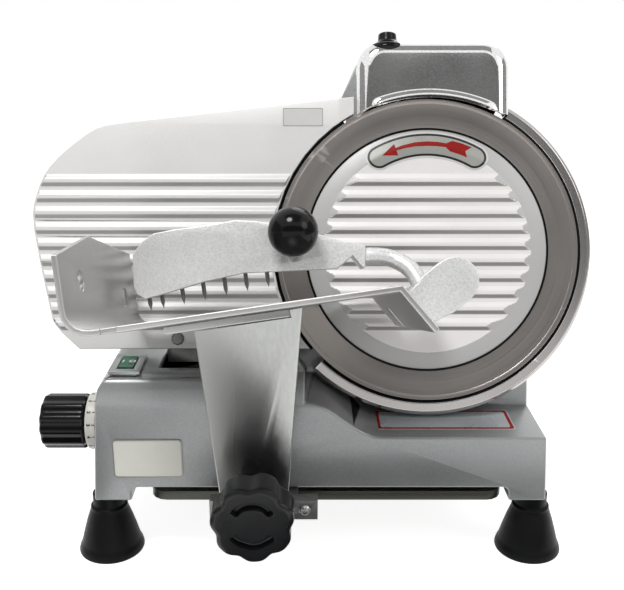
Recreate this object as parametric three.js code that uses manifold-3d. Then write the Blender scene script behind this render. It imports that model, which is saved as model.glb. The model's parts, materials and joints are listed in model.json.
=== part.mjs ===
// Gravity-feed slicer with a leaning motor-driven blade, a sliding product table and a meat pusher.
// Millimetres. X runs along the carriage travel, +Y points to the back, +Z is up.
import * as THREE from 'three';
import { mergeVertices } from 'three/addons/utils/BufferGeometryUtils.js';
import Module from 'manifold-3d';

const wasm = await Module();
wasm.setup();

// Clearances and cuts
const fit = 0.3; // gap between pieces that seat on each other
const runGap = 0.6; // gap round pieces that slide or turn
const overrun = 4; // how far a cut runs past the metal

// Where the blade stands
const bladeDiameter = 220;
const bladeLean = 18.3; // degrees, the top leans back
const bladeRise = 76.3; // blade centre above the deck
const bladeSetback = 62.8; // blade centre behind the base front
const bladeOffset = 78.2; // blade centre right of the base middle

// Base casting
const baseWidth = 325;
const baseDepth = 243.5;
const baseHeight = 142; // the deck above the bench; every height hangs from it
const castingHeight = 95;
const baseWall = 5;
const sideDraft = 5;
const shoulderWidth = 17;
const creaseDrop = 21;
const creaseHeight = baseHeight - creaseDrop;
const hoodRound = 12;
const skirtDrop = 84.1;
const skirtHeight = baseHeight - skirtDrop;
const skirtRadius = 5;
const legWidth = 27;
const legDepth = 30;
const legBlockDrop = 66;
const legBlockTop = baseHeight - legBlockDrop;
const ledgeDrop = 44.5;
const ledgeHeight = baseHeight - ledgeDrop;
const ledgeDepth = 56.5;
const ledgeCurveStart = -11;
const ledgeCurveDrop = 17.7;
const ledgeCurveTop = baseHeight - ledgeCurveDrop;
const ledgeCurveSteps = 8;
const ledgeCurveEnd = 43.7;
const trenchLeft = -114;
const trenchRight = -18;
const trenchFront = 22;
const trenchBack = 74;
const bladeHeight = baseHeight + bladeRise;
const shoulderShares = [0.35, 0.65, 1];
const hoodShares = [[0, 0], [0.12, 0.42], [0.45, 0.82], [1, 1]];

// Rubber feet
const footHeight = baseHeight - castingHeight;
const footRadius = 24;
const footNeckRadius = 11.5;
const footEdge = 1;
const footShares = [[1, 0.05], [0.92, 0.17], [0.7, 0.55]];
const footNeckShare = 0.78;
const footInset = 6.8;
const footSetback = 15;
const footHollowRadius = 15;
const footHollowDepth = 8;

// Bottom tray
const trayInsetLeft = 37.5;
const trayLeft = trayInsetLeft - baseWidth / 2;
const trayInsetRight = 27.8;
const trayRight = baseWidth / 2 - trayInsetRight;
const trayFront = 13.5;
const trayInsetBack = 13.5;
const trayBack = baseDepth - trayInsetBack;
const trayDrop = 102;
const trayBottom = baseHeight - trayDrop;
const trayRise = 7.6;
const trayTop = trayBottom + trayRise;
const traySheet = 1.5;
const trayCorner = 12;
const trayPostRadius = 5;
const trayPostInset = 44.5;
const trayPostX = baseWidth / 2 - trayPostInset;
const trayPostFront = 140;
const trayPostInsetBack = 27.5;
const trayPostBack = baseDepth - trayPostInsetBack;

// Blade, hub and shaft
const bladeRimWidth = 21.5;
const bladeDish = 3;
const bladePlateFront = 6;
const bladePlateThickness = 3;
const bladeBevelWidth = 9;
const bladeEdgeThickness = 0.6;
const hubRadius = 30;
const hubThickness = 7;
const spigotRadius = 12;
const shaftFlangeRadius = 22;
const shaftFlangeThickness = 3.7;
const shaftRadius = 8;
const shaftBack = 86;

// Blade housing with its two bearings
const housingFront = 18.3;
const housingThickness = 5;
const housingRadius = 104;
const bossRadius = 22;
const bossBack = 64;
const bearingRadius = 13;
const bearingWidth = 11;
const bearingFront = 22;
const bearingSpacing = 26;

// Guard ring round the free side of the blade
const ringInnerRadius = 113;
const ringOuterRadius = 121.7;
const ringFront = 5;
const ringWebInner = 96;
const ringWebThickness = 4;
const ringStartAngle = -133;
const ringEndAngle = 60;
const ringRound = 2.5;
const recessGap = 3;

// Blade cover disc
const coverRadius = 87.6;
const coverFlatRadius = 76;
const coverFace = -0.6;
const coverRimFace = 2.2;
const coverThickness = 2.6;
const coverBossRadius = 11;
const coverBossBack = 5.7;
const tieRodRadius = 3.4;
const tieRodBack = 106;
const tieRodDepth = 3.6;

// Ribs on the cover and on the gauge plate
const ribPitch = 11.7;
const ribCount = 10;
const ribFirst = 50.2;
const ribHeight = 1.8;
const ribBase = 9;
const ribCrest = 2.4;
const ribSlope = 5;

// Belt drive and motor
const pulleyFront = 66;
const pulleyWidth = 14;
const pulleyFlange = 2;
const bladePulleyRadius = 40;
const motorPulleyRadius = 13;
const beltThickness = 3;
const motorDrop = 96; // motor axis below the blade axis
const motorRadius = 33;
const motorFront = 87;
const motorLength = 62;
const motorNose = 12;
const motorNoseRadius = 14;
const motorFrontEdge = 3;
const motorBackEdge = 5;
const finDepth = 1.6;
const rotorRadius = 4;
const bracketThickness = 3;
const bracketHalfWidth = 46;
const bracketBottom = -134;
const bracketTop = -59;
const bracketCorner = 6;
const padWidth = 12;
const padDepth = 9;
const padBottom = -104;
const padTop = -50;
const capacitorRadius = 14;
const capacitorLength = 52;
const capacitorX = -60;
const capacitorInset = 53.5;
const capacitorY = baseDepth - capacitorInset;
const capacitorStep = 2;

// Column that carries the blade housing
const columnRadius = 72;
const columnBack = 92;
const columnBottom = -104;
const columnWall = 5;
const beltCoverThickness = 4;
const coverKnobRadius = 15;
const coverKnobLength = 16;
const coverKnobHub = 8;
const coverKnobEdge = 1.5;

// Gauge plate
const gaugeLeft = -288;
const gaugeTopLeft = -222.7;
const gaugeTopLeftHeight = 93;
const gaugeTopRight = -63.5;
const gaugeTopRightHeight = 110.8;
const gaugeBottom = -73;
const gaugeShoulder = 80;
const gaugePadRim = 4;
const gaugeEdgeSteps = 22;
// The plate's free edge from its lower corner up to its top, as shares of its rounded end
const gaugeEdgeShares = [
  [0.52, 0], [0.26, 0.1], [0.18, 0.19], [0, 0.54], [0.03, 0.68], [0.17, 0.8], [0.43, 0.9],
  [0.71, 0.976], [1, 1],
];
const gaugeThickness = 7;
const gaugeFace = 1.2;
const gaugeBladeGap = 2.6;
const gaugeRibInset = 1.5;
const gaugePocketInset = 9;
const gaugePocketDepth = 3.5;
const gaugeTravel = 12;
const gaugeScrewRadius = 5;
const gaugeScrewHead = 1.6;
const gaugeScrewX = -182;
const gaugeScrewPitch = 62;
const gaugeScrewRise = 11;
const gaugeShankRadius = 2.6;

// Gauge slide, guide rods and thickness drive
const slideBarLeft = -112;
const slideBarRight = -24;
const slideBarBottom = -88;
const slideBarTop = -60;
const slideBarDepth = 8;
const slideLeft = -84;
const slideRight = -40;
const slideBlockBottom = -119;
const slideBlockTop = -84;
const slideBlockFront = 23;
const slideBlockDepth = 18;
const earFront = 14;
const earBack = 25;
const earOverlap = 10;
const earBottom = -133;
const earWidth = 20;
const guideRodRadius = 5;
const guideRodHeight = -107;
const guideRodPitch = 22;
const guideRodFront = 20;
const rodLugFront = 62;
const rodLugDepth = 13;
const rodLugBottom = -121;
const rodLugTop = -61;
const dialAxisY = 30;
const dialDrop = 45.4;
const dialAxisZ = baseHeight - dialDrop;
const camLeft = -95;
const camThickness = 6;
const camStart = 8.2;
const camTurn = 300; // degrees of knob travel
const followerRadius = 3;
const followerReach = 14;
const thicknessShaftRadius = 5;
const thicknessShaftEnd = -86;
const shaftLugLeft = -126;
const shaftLugWidth = 8;
const shaftLugHalf = 11;
const dialWidth = 7.5;
const dialRadius = 20;
const dialRingStep = 0.8;
const dialEdge = 1;
const thicknessKnobLength = 33;
const thicknessKnobRadius = 20;
const thicknessKnobFlutes = 18;
const thicknessFluteDepth = 1.3;
const thicknessKnobEdge = 2.5;
const thicknessKnobTaper = 0.5;
const thicknessFluteStart = 5;
const wallClear = 1.8;

// Carriage rail, slider and arm
const railRadius = 9;
const railY = 70;
const railDrop = 73;
const railZ = baseHeight - railDrop;
const railBossRadius = 15;
const railBossInset = 25.5;
const railBossInner = baseWidth / 2 - railBossInset;
const railInset = 12.5;
const railHalfLength = baseWidth / 2 - railInset;
const guideBarY = 96;
const guideBarDepth = 8;
const guideBarDrop = 82;
const guideBarBottom = baseHeight - guideBarDrop;
const guideBarHeight = 6;
const guideLugInset = 17.5;
const guideLugInner = baseWidth / 2 - guideLugInset;
const guideLugRim = 4;
const sliderLeft = -80;
const sliderRight = -10;
const sliderRadius = 15;
const neckLeft = -72;
const neckRight = -16;
const neckDrop = 93;
const neckBottom = baseHeight - neckDrop;
const neckThickness = 8;
const sliderFootLeft = -78;
const sliderFootRight = -2;
const sliderFootDrop = 100;
const sliderFootBottom = baseHeight - sliderFootDrop;
const sliderFootRise = 15;
const sliderFootTop = sliderFootBottom + sliderFootRise;
const sliderFootFront = -16;
const sliderFootThickness = 10;
const tongueLeft = -66;
const tongueRight = -27;
const tongueDrop = 52;
const tongueTop = baseHeight - tongueDrop;
const tailLeft = -56;
const tailRight = -34;
const tailBack = 108;
const tailThickness = 5;
const guidePadLength = 16;
const guidePadDepth = 8;
const bushLength = 14;
const bushWall = 2.5;
const armTopLeft = -83.2;
const armTopRight = -12;
const armBottomLeft = -67.7;
const armBottomRight = -23.5;
const armDrop = 92;
const armBottom = baseHeight - armDrop;
const armHeight = 165;
const armFrontY = -27;
const armLean = 4.7;
const armThickness = 9;
const armSkin = 4;
const armRim = 4;
const armFlangeLeft = 136; // from the table floor's right edge
const armFlangeRight = 60;
const armFlangeFront = -112;
const armFlangeBack = -66;
const armFlangeThickness = 5;
const lockKnobX = -44.8;
const lockKnobDrop = 73.7;
const lockKnobZ = baseHeight - lockKnobDrop;
const lockKnobRadius = 27.5;
const lockKnobLobes = 7;
const lockKnobLobeDepth = 1.9;
const lockKnobFront = -66.5;
const lockKnobDepth = 24;
const lockKnobEdge = 5;
const lockKnobHubRadius = 12;
const lockKnobRecessRadius = 15;
const lockKnobRecessDepth = 2.5;
const lockStudRadius = 4;
const lockStudEnd = -8;
const footScrewX = -11;
const footScrewDrop = 92;
const footScrewZ = baseHeight - footScrewDrop;
const footScrewRadius = 4.2;
const footScrewHead = 2;
const footScrewEdge = 0.6;
const footScrewSlot = 1;

// Product table, in its own rolled frame
const tableEdgeX = -39.94; // the floor's right edge, beside the blade
const tableEdgeU = -31.65;
const tableRoll = 8.2;
const tableWidth = 170;
const tableFront = -196;
const tableBack = -6;
const tableSheet = 3.2;
const tableBend = 11;
const tableWallFront = 40;
const tableWallPeak = 55.5;
const tableWallPeakY = -123;
const tableWallBack = 52.5;
const tableFlange = 29;
const tableFlangeAngle = 58.4;
const wallHoleRadius = 6;
const wallHoleY = -155;
const wallHoleHeight = 28;
const wallSlotY = -43;
const wallSlotWidth = 10;
const wallSlotHeight = 12;
const wallSlotRise = 14;
const flangeSlotY = -61;
const flangeSlotWidth = 8;
const flangeSlotLength = 16;
const frontNotchX = 16;
const frontNotchWidth = 8;
const frontNotchDepth = 2;

// Pusher on its rod, places in the blade frame
const pusherRodX = -11.4;
const pusherRodU = -38.9;
const pusherRodRadius = 7;
const pusherRodBack = -28;
const bushingOuter = 9.5;
const bossFront = -90;
const bossLength = 22;
const pusherBossRadius = 13.2;
const tabWidth = 30;
const tabReach = 36;
const tabThickness = 9;
const tabAngle = 38;
const rodLugLength = 20;
const rodLugStart = -44;
const rodLugRing = 12.5;
const rodLugFoot = 22;
const gripInset = 7; // from the table's left wall
const gripRight = -50;
const gripTop = 14;
const gripBottom = -37.5;
const gripFront = -70;
const gripDepth = 26;
const gripSkin = 6;
const armPipeRadius = 5.8;
const armPipeSetback = 7;
const armPipeOverlap = 12;
// The bent arm's way from the grip to the boss, as shares of the distance across, back and down
const armPipeShares = [[0.155, 0, -0.07], [0.49, 0, 0], [0.8, 0.5, 0.32]];
const armPipeU = -11;
const spikeCount = 7;
const spikeInset = 17.2;
const spikeSpread = 69;
const spikeFirstU = -31;
const spikeLastU = -17;
const spikeLength = 15;
const spikeRadius = 1.3;
const spikeStripDepth = 7;
const spikeStripHeight = 6;
const ballRadius = 16;
const ballX = -96.7;
const ballBaseU = -7;
const ballRise = 35;
const collarRadius = 7;
const collarLength = 6;
const collarSink = 2;

// Sharpener on top of the housing
const sharpenerLeft = -51.5;
const sharpenerRight = 58.5;
const sharpenerTop = 149;
const sharpenerBottom = 96.5;
const sharpenerFront = -13.5;
const sharpenerWall = 3;
const sharpenerCorner = 13;
const sharpenerArch = 108.3;
const sharpenerBack = housingFront + housingThickness;
const bracketPlateLeft = -58;
const bracketPlateRight = 28;
const bracketPlateBottom = 62;
const bracketPlateTop = 140;
const bracketPlateThickness = 6;
const bracketPlateShoulder = 9;
const bracketPlateShoulderU = 100;
const bracketArmDepth = 8;
const bracketArmRise = 2;
const bracketArmRim = 3.5;
const postX = -29;
const postRadius = 5;
const postBottom = 116;
const postTop = 156;
const postY = -1;
const sharpenerKnobRadius = 10;
const sharpenerKnobSkirt = 4;
const sharpenerKnobStem = 6;
const sharpenerKnobHeight = 9.5;
const sharpenerKnobRim = 2;
const sharpenerKnobTaper = 1;
const stoneRadius = 14;
const stoneHeight = 124;
const grindingX = -5;
const grindingFront = 9;
const grindingWidth = 7;
const deburrX = 24;
const deburrFront = -7;
const deburrWidth = 5;
const spindleRadius = 2;
const spindleCollar = 4.5;
const spindleCollarLength = 1.5;
const buttonRadius = 6;
const buttonLength = 7;
const buttonStand = 6;
const buttonEdge = 1;

// Power switch and cord inlet
const switchInset = 25.5;
const switchX = switchInset - baseWidth / 2;
const switchY = 24;
const switchWidth = 17;
const switchDepth = 28;
const switchRise = 2.5;
const switchRim = 2.5;
const switchBody = 18;
const rockerPivot = 1;
const inletX = -95;
const inletDrop = 54;
const inletZ = baseHeight - inletDrop;
const inletRadius = 9;
const inletLength = 9;
const inletFlange = 3;
const inletBore = 4;
const inletTaper = 2;

// Roundness of turned pieces
const fineSides = 48;
const midSides = 18;
const coarseSides = 10;

const rad = THREE.MathUtils.degToRad;

// Booleans on closed geometries
function solidOf(geometry) {
  const bare = geometry.clone();
  bare.deleteAttribute('normal');
  bare.deleteAttribute('uv');
  const merged = mergeVertices(bare);
  const index = merged.index.array;
  const corners = [];
  for (let i = 0; i < index.length; i += 3) {
    const [a, b, c] = [index[i], index[i + 1], index[i + 2]];
    if (a !== b && b !== c && c !== a) corners.push(a, b, c);
  }
  const vertProperties = new Float32Array(merged.attributes.position.array);
  const triVerts = new Uint32Array(turnedOut(vertProperties, corners));
  return new wasm.Manifold(new wasm.Mesh({ numProp: 3, vertProperties, triVerts }));
}

function turnedOut(points, corners) {
  const at = (i) => new THREE.Vector3().fromArray(points, 3 * i);
  let volume = 0;
  for (let i = 0; i < corners.length; i += 3) {
    volume += at(corners[i]).dot(at(corners[i + 1]).cross(at(corners[i + 2])));
  }
  if (volume > 0) return corners;
  return corners.toReversed();
}

function geometryOf(solid) {
  const { vertProperties, triVerts } = solid.getMesh();
  const geometry = new THREE.BufferGeometry();
  geometry.setAttribute('position', new THREE.BufferAttribute(vertProperties.slice(), 3));
  geometry.setIndex(new THREE.BufferAttribute(triVerts.slice(), 1));
  return geometry;
}

function join(first, ...others) {
  return geometryOf(others.reduce((sum, other) => sum.add(solidOf(other)), solidOf(first)));
}

function cut(first, ...others) {
  return geometryOf(others.reduce((rest, other) => rest.subtract(solidOf(other)), solidOf(first)));
}

function common(first, second) {
  return geometryOf(solidOf(first).intersect(solidOf(second)));
}

// Plain shapes in place
function block(x0, x1, y0, y1, z0, z1) {
  const shape = new THREE.BoxGeometry(x1 - x0, y1 - y0, z1 - z0);
  return shape.translate((x0 + x1) / 2, (y0 + y1) / 2, (z0 + z1) / 2);
}

function extruded(outline, depth) {
  const shape = new THREE.Shape(outline.map(([a, b]) => new THREE.Vector2(a, b)));
  return new THREE.ExtrudeGeometry(shape, { depth, bevelEnabled: false, curveSegments: 1 });
}

function basis(a, b, c) {
  return new THREE.Matrix4().makeBasis(
    new THREE.Vector3(...a), new THREE.Vector3(...b), new THREE.Vector3(...c));
}

// An outline of x and z, pulled along y
function slabY(outline, y0, y1) {
  const turn = basis([1, 0, 0], [0, 0, 1], [0, -1, 0]);
  return extruded(outline, y1 - y0).applyMatrix4(turn).translate(0, y1, 0);
}

// An outline of y and z, pulled along x
function slabX(outline, x0, x1) {
  const turn = basis([0, 1, 0], [0, 0, 1], [1, 0, 0]);
  return extruded(outline, x1 - x0).applyMatrix4(turn).translate(x0, 0, 0);
}

// An outline of x and y, pulled along z
function slabZ(outline, z0, z1) {
  return extruded(outline, z1 - z0).translate(0, 0, z0);
}

// A profile of radius and place along the axis, turned about y, x or z
function turnY(profile, sides = midSides) {
  return new THREE.LatheGeometry(profile.map(([r, y]) => new THREE.Vector2(r, y)), sides);
}

function turnX(profile, sides = midSides) {
  return turnY(profile, sides).rotateZ(-Math.PI / 2);
}

function turnZ(profile, sides = midSides) {
  return turnY(profile, sides).rotateX(Math.PI / 2);
}

function barProfile(radius, start, end) {
  return [[0, start], [radius, start], [radius, end], [0, end]];
}

function tubeProfile(inner, outer, start, end) {
  return [[inner, start], [outer, start], [outer, end], [inner, end], [inner, start]];
}

const barX = (radius, x0, x1, y, z, sides = midSides) =>
  turnX(barProfile(radius, x0, x1), sides).translate(0, y, z);
const barY = (radius, y0, y1, x, z, sides = midSides) =>
  turnY(barProfile(radius, y0, y1), sides).translate(x, 0, z);
const barZ = (radius, z0, z1, x, y, sides = midSides) =>
  turnZ(barProfile(radius, z0, z1), sides).translate(x, y, 0);

// Points on an arc, in degrees
function arc(cx, cy, radius, from, to, steps) {
  return Array.from({ length: steps + 1 }, (_, i) => {
    const angle = rad(from + ((to - from) * i) / steps);
    return [cx + radius * Math.cos(angle), cy + radius * Math.sin(angle)];
  });
}

function roundedBox(x0, x1, y0, y1, radius, steps = 4) {
  return [
    ...arc(x1 - radius, y1 - radius, radius, 0, 90, steps),
    ...arc(x0 + radius, y1 - radius, radius, 90, 180, steps),
    ...arc(x0 + radius, y0 + radius, radius, 180, 270, steps),
    ...arc(x1 - radius, y0 + radius, radius, 270, 360, steps),
  ];
}

// Frames: the blade frame has y along the blade axis and z up in the blade plane
const bladeFrame = new THREE.Matrix4().makeRotationX(-rad(bladeLean))
  .setPosition(bladeOffset, bladeSetback, bladeHeight);
const tableX = tableEdgeX - tableWidth * Math.cos(rad(tableRoll));
const tableU = tableEdgeU - tableWidth * Math.sin(rad(tableRoll));
const gripLeft = tableX + gripInset;
const tableFrame = new THREE.Matrix4().makeRotationY(-rad(tableRoll)).setPosition(tableX, 0, tableU);
const intoWorld = (geometry) => geometry.applyMatrix4(bladeFrame);
const fromTable = (geometry) => geometry.applyMatrix4(tableFrame).applyMatrix4(bladeFrame);
const toBladeX = (x) => x - bladeOffset;
const toBlade = (x, y, z) => new THREE.Vector3(x, y, z).applyMatrix4(bladeFrame.clone().invert());

// Finishes
const look = (color, roughness, metalness) => ({ color, roughness, metalness });
const greyPaint = look(0x8f9293, 0.45, 0.45);
const groundSteel = look(0x9b938b, 0.35, 1);
const castAluminium = look(0xcfd0cf, 0.42, 0.9);
const polishedAluminium = look(0xa9a8a8, 0.2, 1);
const brightSteel = look(0xb9bcbe, 0.25, 1);
const blackPlastic = look(0x17181a, 0.35, 0);
const blackRubber = look(0x1a1b1c, 0.7, 0);
const whitePlastic = look(0xe6e5dd, 0.5, 0);
const greenPlastic = look(0x1e6a45, 0.4, 0);
const bronze = look(0x9a7440, 0.4, 0.9);
const abrasive = look(0x6d6a66, 0.95, 0);

function piece(name, geometry, finish) {
  const mesh = new THREE.Mesh(geometry, new THREE.MeshStandardMaterial(finish));
  mesh.name = name;
  return mesh;
}

function assembly(...members) {
  const group = new THREE.Group();
  group.add(...members);
  return group;
}

// An empty marker for a joint's place
function anchor(name, x, y, z) {
  const marker = new THREE.Group();
  marker.name = name;
  marker.position.set(x, y, z);
  return marker;
}

// Base casting

function shoulder(side, inset) {
  const outer = baseWidth / 2 - inset;
  const crease = [side * (outer - sideDraft), creaseHeight];
  const top = [side * (outer - sideDraft - shoulderWidth), baseHeight - inset];
  const corner = [side * (outer - sideDraft), baseHeight - inset];
  const points = [[side * outer, footHeight + fit - (inset ? overrun : 0)], crease];
  for (const t of shoulderShares) {
    const blend = (k) => (1 - t) ** 2 * crease[k] + 2 * t * (1 - t) * corner[k] + t ** 2 * top[k];
    points.push([blend(0), blend(1)]);
  }
  return points;
}

function baseOutline(inset) {
  return [...shoulder(1, inset), ...shoulder(-1, inset).reverse()];
}

function ledgeCut(grow) {
  const curve = Array.from({ length: ledgeCurveSteps + 1 }, (_, i) => {
    const t = i / ledgeCurveSteps;
    const drop = (1 + Math.cos(Math.PI * t)) / 2;
    return [
      THREE.MathUtils.lerp(ledgeCurveStart, ledgeCurveEnd, t) - grow,
      ledgeHeight + (ledgeCurveTop - ledgeHeight) * drop - grow,
    ];
  });
  const right = baseWidth / 2 + overrun;
  const top = baseHeight + overrun;
  const outline = [
    [ledgeCurveStart - grow, top], ...curve, [right, ledgeHeight - grow], [right, top],
  ];
  return slabY(outline, -overrun, ledgeDepth + grow);
}

function hoodRoundCut(grow) {
  const front = -overrun;
  const top = baseHeight + overrun;
  const outline = [
    [front, creaseHeight - grow],
    ...hoodShares.map(([back, up]) => [
      hoodRound * back + grow, THREE.MathUtils.lerp(creaseHeight, baseHeight, up) - grow,
    ]),
    [hoodRound + grow, top], [front, top],
  ];
  return slabX(outline, -baseWidth, baseWidth);
}

function recess(grow) {
  const back = housingFront + housingThickness + fit + grow;
  return intoWorld(barY(ringOuterRadius + recessGap + grow, -ledgeDepth, back, 0, 0, fineSides));
}

function columnOutline(inset) {
  const r = columnRadius - inset;
  return [...arc(0, 0, r, 0, 180, 18), [-r, columnBottom], [r, columnBottom]];
}

function legBlocks() {
  const outer = baseWidth / 2 + overrun;
  const inner = baseWidth / 2 - legWidth;
  const blocks = [];
  for (const side of [-1, 1]) {
    const [x0, x1] = side < 0 ? [-outer, -inner] : [inner, outer];
    blocks.push(block(x0, x1, -overrun, legDepth, -overrun, legBlockTop));
    blocks.push(block(x0, x1, baseDepth - legDepth, baseDepth + overrun, -overrun, legBlockTop));
  }
  return blocks;
}

function insideBosses() {
  const half = baseWidth / 2;
  const guideTop = guideBarBottom + guideBarHeight + guideLugRim;
  const guideBottom = skirtHeight - overrun;
  const guide = [guideBarY - guideLugRim, guideBarY + guideBarDepth + guideLugRim, guideBottom, guideTop];
  return [
    barX(railBossRadius, -half, -railBossInner, railY, railZ),
    barX(railBossRadius, railBossInner, half, railY, railZ),
    block(-half, -guideLugInner, ...guide),
    block(guideLugInner, half, ...guide),
    block(shaftLugLeft, shaftLugLeft + shaftLugWidth, dialAxisY - shaftLugHalf, dialAxisY + shaftLugHalf,
      dialAxisZ - shaftLugHalf, baseHeight),
  ];
}

function bladeFrameBosses() {
  const motorPads = [-1, 1].map((side) => {
    const near = side * (bracketHalfWidth - padWidth);
    const far = side * bracketHalfWidth;
    return block(Math.min(near, far), Math.max(near, far), motorFront - fit, motorFront + padDepth,
      padBottom, padTop);
  });
  const rodLug = block(toBladeX(slideLeft), toBladeX(slideRight), rodLugFront, rodLugFront + rodLugDepth,
    rodLugBottom, rodLugTop);
  return [...motorPads, rodLug].map(intoWorld);
}

function skirtCuts() {
  const inner = baseWidth / 2 - legWidth;
  const below = -overrun;
  const across = roundedBox(-inner, inner, below - skirtHeight, skirtHeight, skirtRadius);
  const along = roundedBox(legDepth, baseDepth - legDepth, below - skirtHeight, skirtHeight, skirtRadius);
  return [
    slabY(across, -overrun, baseDepth + overrun),
    slabX(along, -baseWidth, baseWidth),
  ];
}

function guideRodPlaces() {
  const middle = toBladeX((slideLeft + slideRight) / 2);
  return [middle - guideRodPitch / 2, middle + guideRodPitch / 2];
}

function baseCasting() {
  const outer = cut(slabY(baseOutline(0), 0, baseDepth), ledgeCut(0), hoodRoundCut(0));
  const column = intoWorld(slabY(columnOutline(0), 0, columnBack));
  const columnHollow = common(
    intoWorld(slabY(columnOutline(columnWall), 0, columnBack + overrun)),
    block(-baseWidth, baseWidth, 0, baseDepth, baseHeight, 2 * bladeHeight));
  const beltHole = common(
    intoWorld(slabY(columnOutline(columnWall), 0, motorFront - bracketThickness - 2 * fit)),
    block(-baseWidth, baseWidth, 0, baseDepth, baseHeight - baseWall - overrun, baseHeight + overrun));
  const hollow = cut(
    slabY(baseOutline(baseWall), baseWall, baseDepth - baseWall),
    ledgeCut(baseWall), hoodRoundCut(baseWall), recess(baseWall),
    ...legBlocks(), ...insideBosses(), ...bladeFrameBosses(),
  );
  const columnFoot = block(-baseWidth, baseWidth, 0, baseDepth, 0, baseHeight - baseWall);
  const stand = cut(column, columnFoot);
  const posts = [];
  for (const x of [-trayPostX, trayPostX]) {
    for (const y of [trayPostFront, trayPostBack]) {
      const top = baseHeight - baseWall / 2;
      posts.push(barZ(trayPostRadius, trayBottom + traySheet + fit, top, x, y, coarseSides));
    }
  }
  const trench = block(trenchLeft, trenchRight, trenchFront, trenchBack,
    baseHeight - baseWall - overrun, baseHeight + overrun);
  const rodBores = guideRodPlaces().map((x) => intoWorld(
    barY(guideRodRadius + fit, 0, rodLugFront + rodLugDepth + overrun, x, guideRodHeight)));
  const shell = cut(
    join(outer, stand), recess(0), hollow, columnHollow, beltHole, ...skirtCuts(), trench,
    barX(railRadius + fit, -railHalfLength - fit, railHalfLength + fit, railY, railZ),
    barX(thicknessShaftRadius + runGap, -baseWidth, shaftLugLeft + shaftLugWidth + overrun,
      dialAxisY, dialAxisZ),
    block(switchX - switchWidth / 2, switchX + switchWidth / 2, switchY - switchDepth / 2,
      switchY + switchDepth / 2, baseHeight - switchBody - fit, baseHeight + overrun),
    barY(inletRadius + fit, baseDepth - baseWall - overrun, baseDepth + overrun, inletX, inletZ),
    ...rodBores,
  );
  return piece('base_casting', join(shell, ...posts), greyPaint);
}

function foot(name, x, y) {
  const profile = [
    [0, footHollowDepth], [footHollowRadius, footHollowDepth], [footHollowRadius, 0],
    [footRadius - footEdge, 0],
    ...footShares.map(([across, up]) => [footRadius * across, footHeight * up]),
    [footNeckRadius, footHeight * footNeckShare], [footNeckRadius, footHeight], [0, footHeight],
  ];
  return piece(name, turnZ(profile).translate(x, y, 0), blackRubber);
}

function feet() {
  const x = baseWidth / 2 - footInset;
  const back = baseDepth - footSetback;
  return [
    foot('foot_front_left', -x, footSetback), foot('foot_front_right', x, footSetback),
    foot('foot_rear_left', -x, back), foot('foot_rear_right', x, back),
  ];
}

function bottomTray() {
  const outline = (inset) => roundedBox(trayLeft + inset, trayRight - inset, trayFront + inset,
    trayBack - inset, trayCorner - inset);
  const pan = cut(slabZ(outline(0), trayBottom, trayTop),
    slabZ(outline(traySheet), trayBottom + traySheet, trayTop + overrun));
  return piece('bottom_tray', pan, greyPaint);
}

// Blade and what turns with it

function bladeDisc() {
  const edge = bladeDiameter / 2;
  const seat = edge - bladeRimWidth;
  const plateBack = bladePlateFront + bladePlateThickness;
  const profile = [
    [spigotRadius + fit, bladePlateFront], [seat - bladeDish, bladePlateFront], [seat, bladeDish],
    [edge - bladeRimWidth / 2, bladeDish * 0.62], [edge, 0], [edge, bladeEdgeThickness],
    [edge - bladeBevelWidth, bladePlateFront], [edge - bladeBevelWidth * 1.3, plateBack],
    [hubRadius, plateBack], [hubRadius, bladePlateFront + hubThickness],
    [spigotRadius + fit, bladePlateFront + hubThickness], [spigotRadius + fit, bladePlateFront],
  ];
  return piece('blade', turnY(profile, fineSides), groundSteel);
}

const flangeFront = () => bladePlateFront + hubThickness + fit;

function bladeShaft() {
  const bore = tieRodRadius + runGap;
  const profile = [
    [bore, bladePlateFront], [spigotRadius, bladePlateFront], [spigotRadius, flangeFront()],
    [shaftFlangeRadius, flangeFront()], [shaftFlangeRadius, flangeFront() + shaftFlangeThickness],
    [shaftRadius, flangeFront() + shaftFlangeThickness], [shaftRadius, shaftBack], [bore, shaftBack],
    [bore, bladePlateFront],
  ];
  return piece('blade_shaft', turnY(profile), brightSteel);
}

function pulleyProfile(bore, radius) {
  const back = pulleyFront + pulleyWidth;
  const lip = radius + beltThickness;
  const profile = [
    [bore, pulleyFront], [lip, pulleyFront], [lip, pulleyFront + pulleyFlange],
    [radius, pulleyFront + pulleyFlange], [radius, back - pulleyFlange],
    [lip, back - pulleyFlange], [lip, back], [bore, back], [bore, pulleyFront],
  ];
  return profile;
}

function bladePulley() {
  const windows = arc(0, 0, bladePulleyRadius * 0.62, 0, 300, 5).map(([x, z]) =>
    barY(bladePulleyRadius * 0.2, 0, shaftBack, x, z, coarseSides));
  const wheel = turnY(pulleyProfile(shaftRadius + fit, bladePulleyRadius), midSides);
  return piece('blade_pulley', cut(wheel, ...windows), castAluminium);
}

function bladeHousing() {
  const back = housingFront + housingThickness;
  const bearingPocket = bearingRadius + fit;
  const profile = [
    [bearingPocket, housingFront], [housingRadius, housingFront], [housingRadius, back],
    [bossRadius, back], [bossRadius, bossBack], [bearingPocket, bossBack], [bearingPocket, housingFront],
  ];
  return piece('blade_housing', turnY(profile, fineSides), greyPaint);
}

function bearing(name, front) {
  const ring = turnY(tubeProfile(shaftRadius + fit, bearingRadius, front, front + bearingWidth));
  return piece(name, ring, brightSteel);
}

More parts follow.
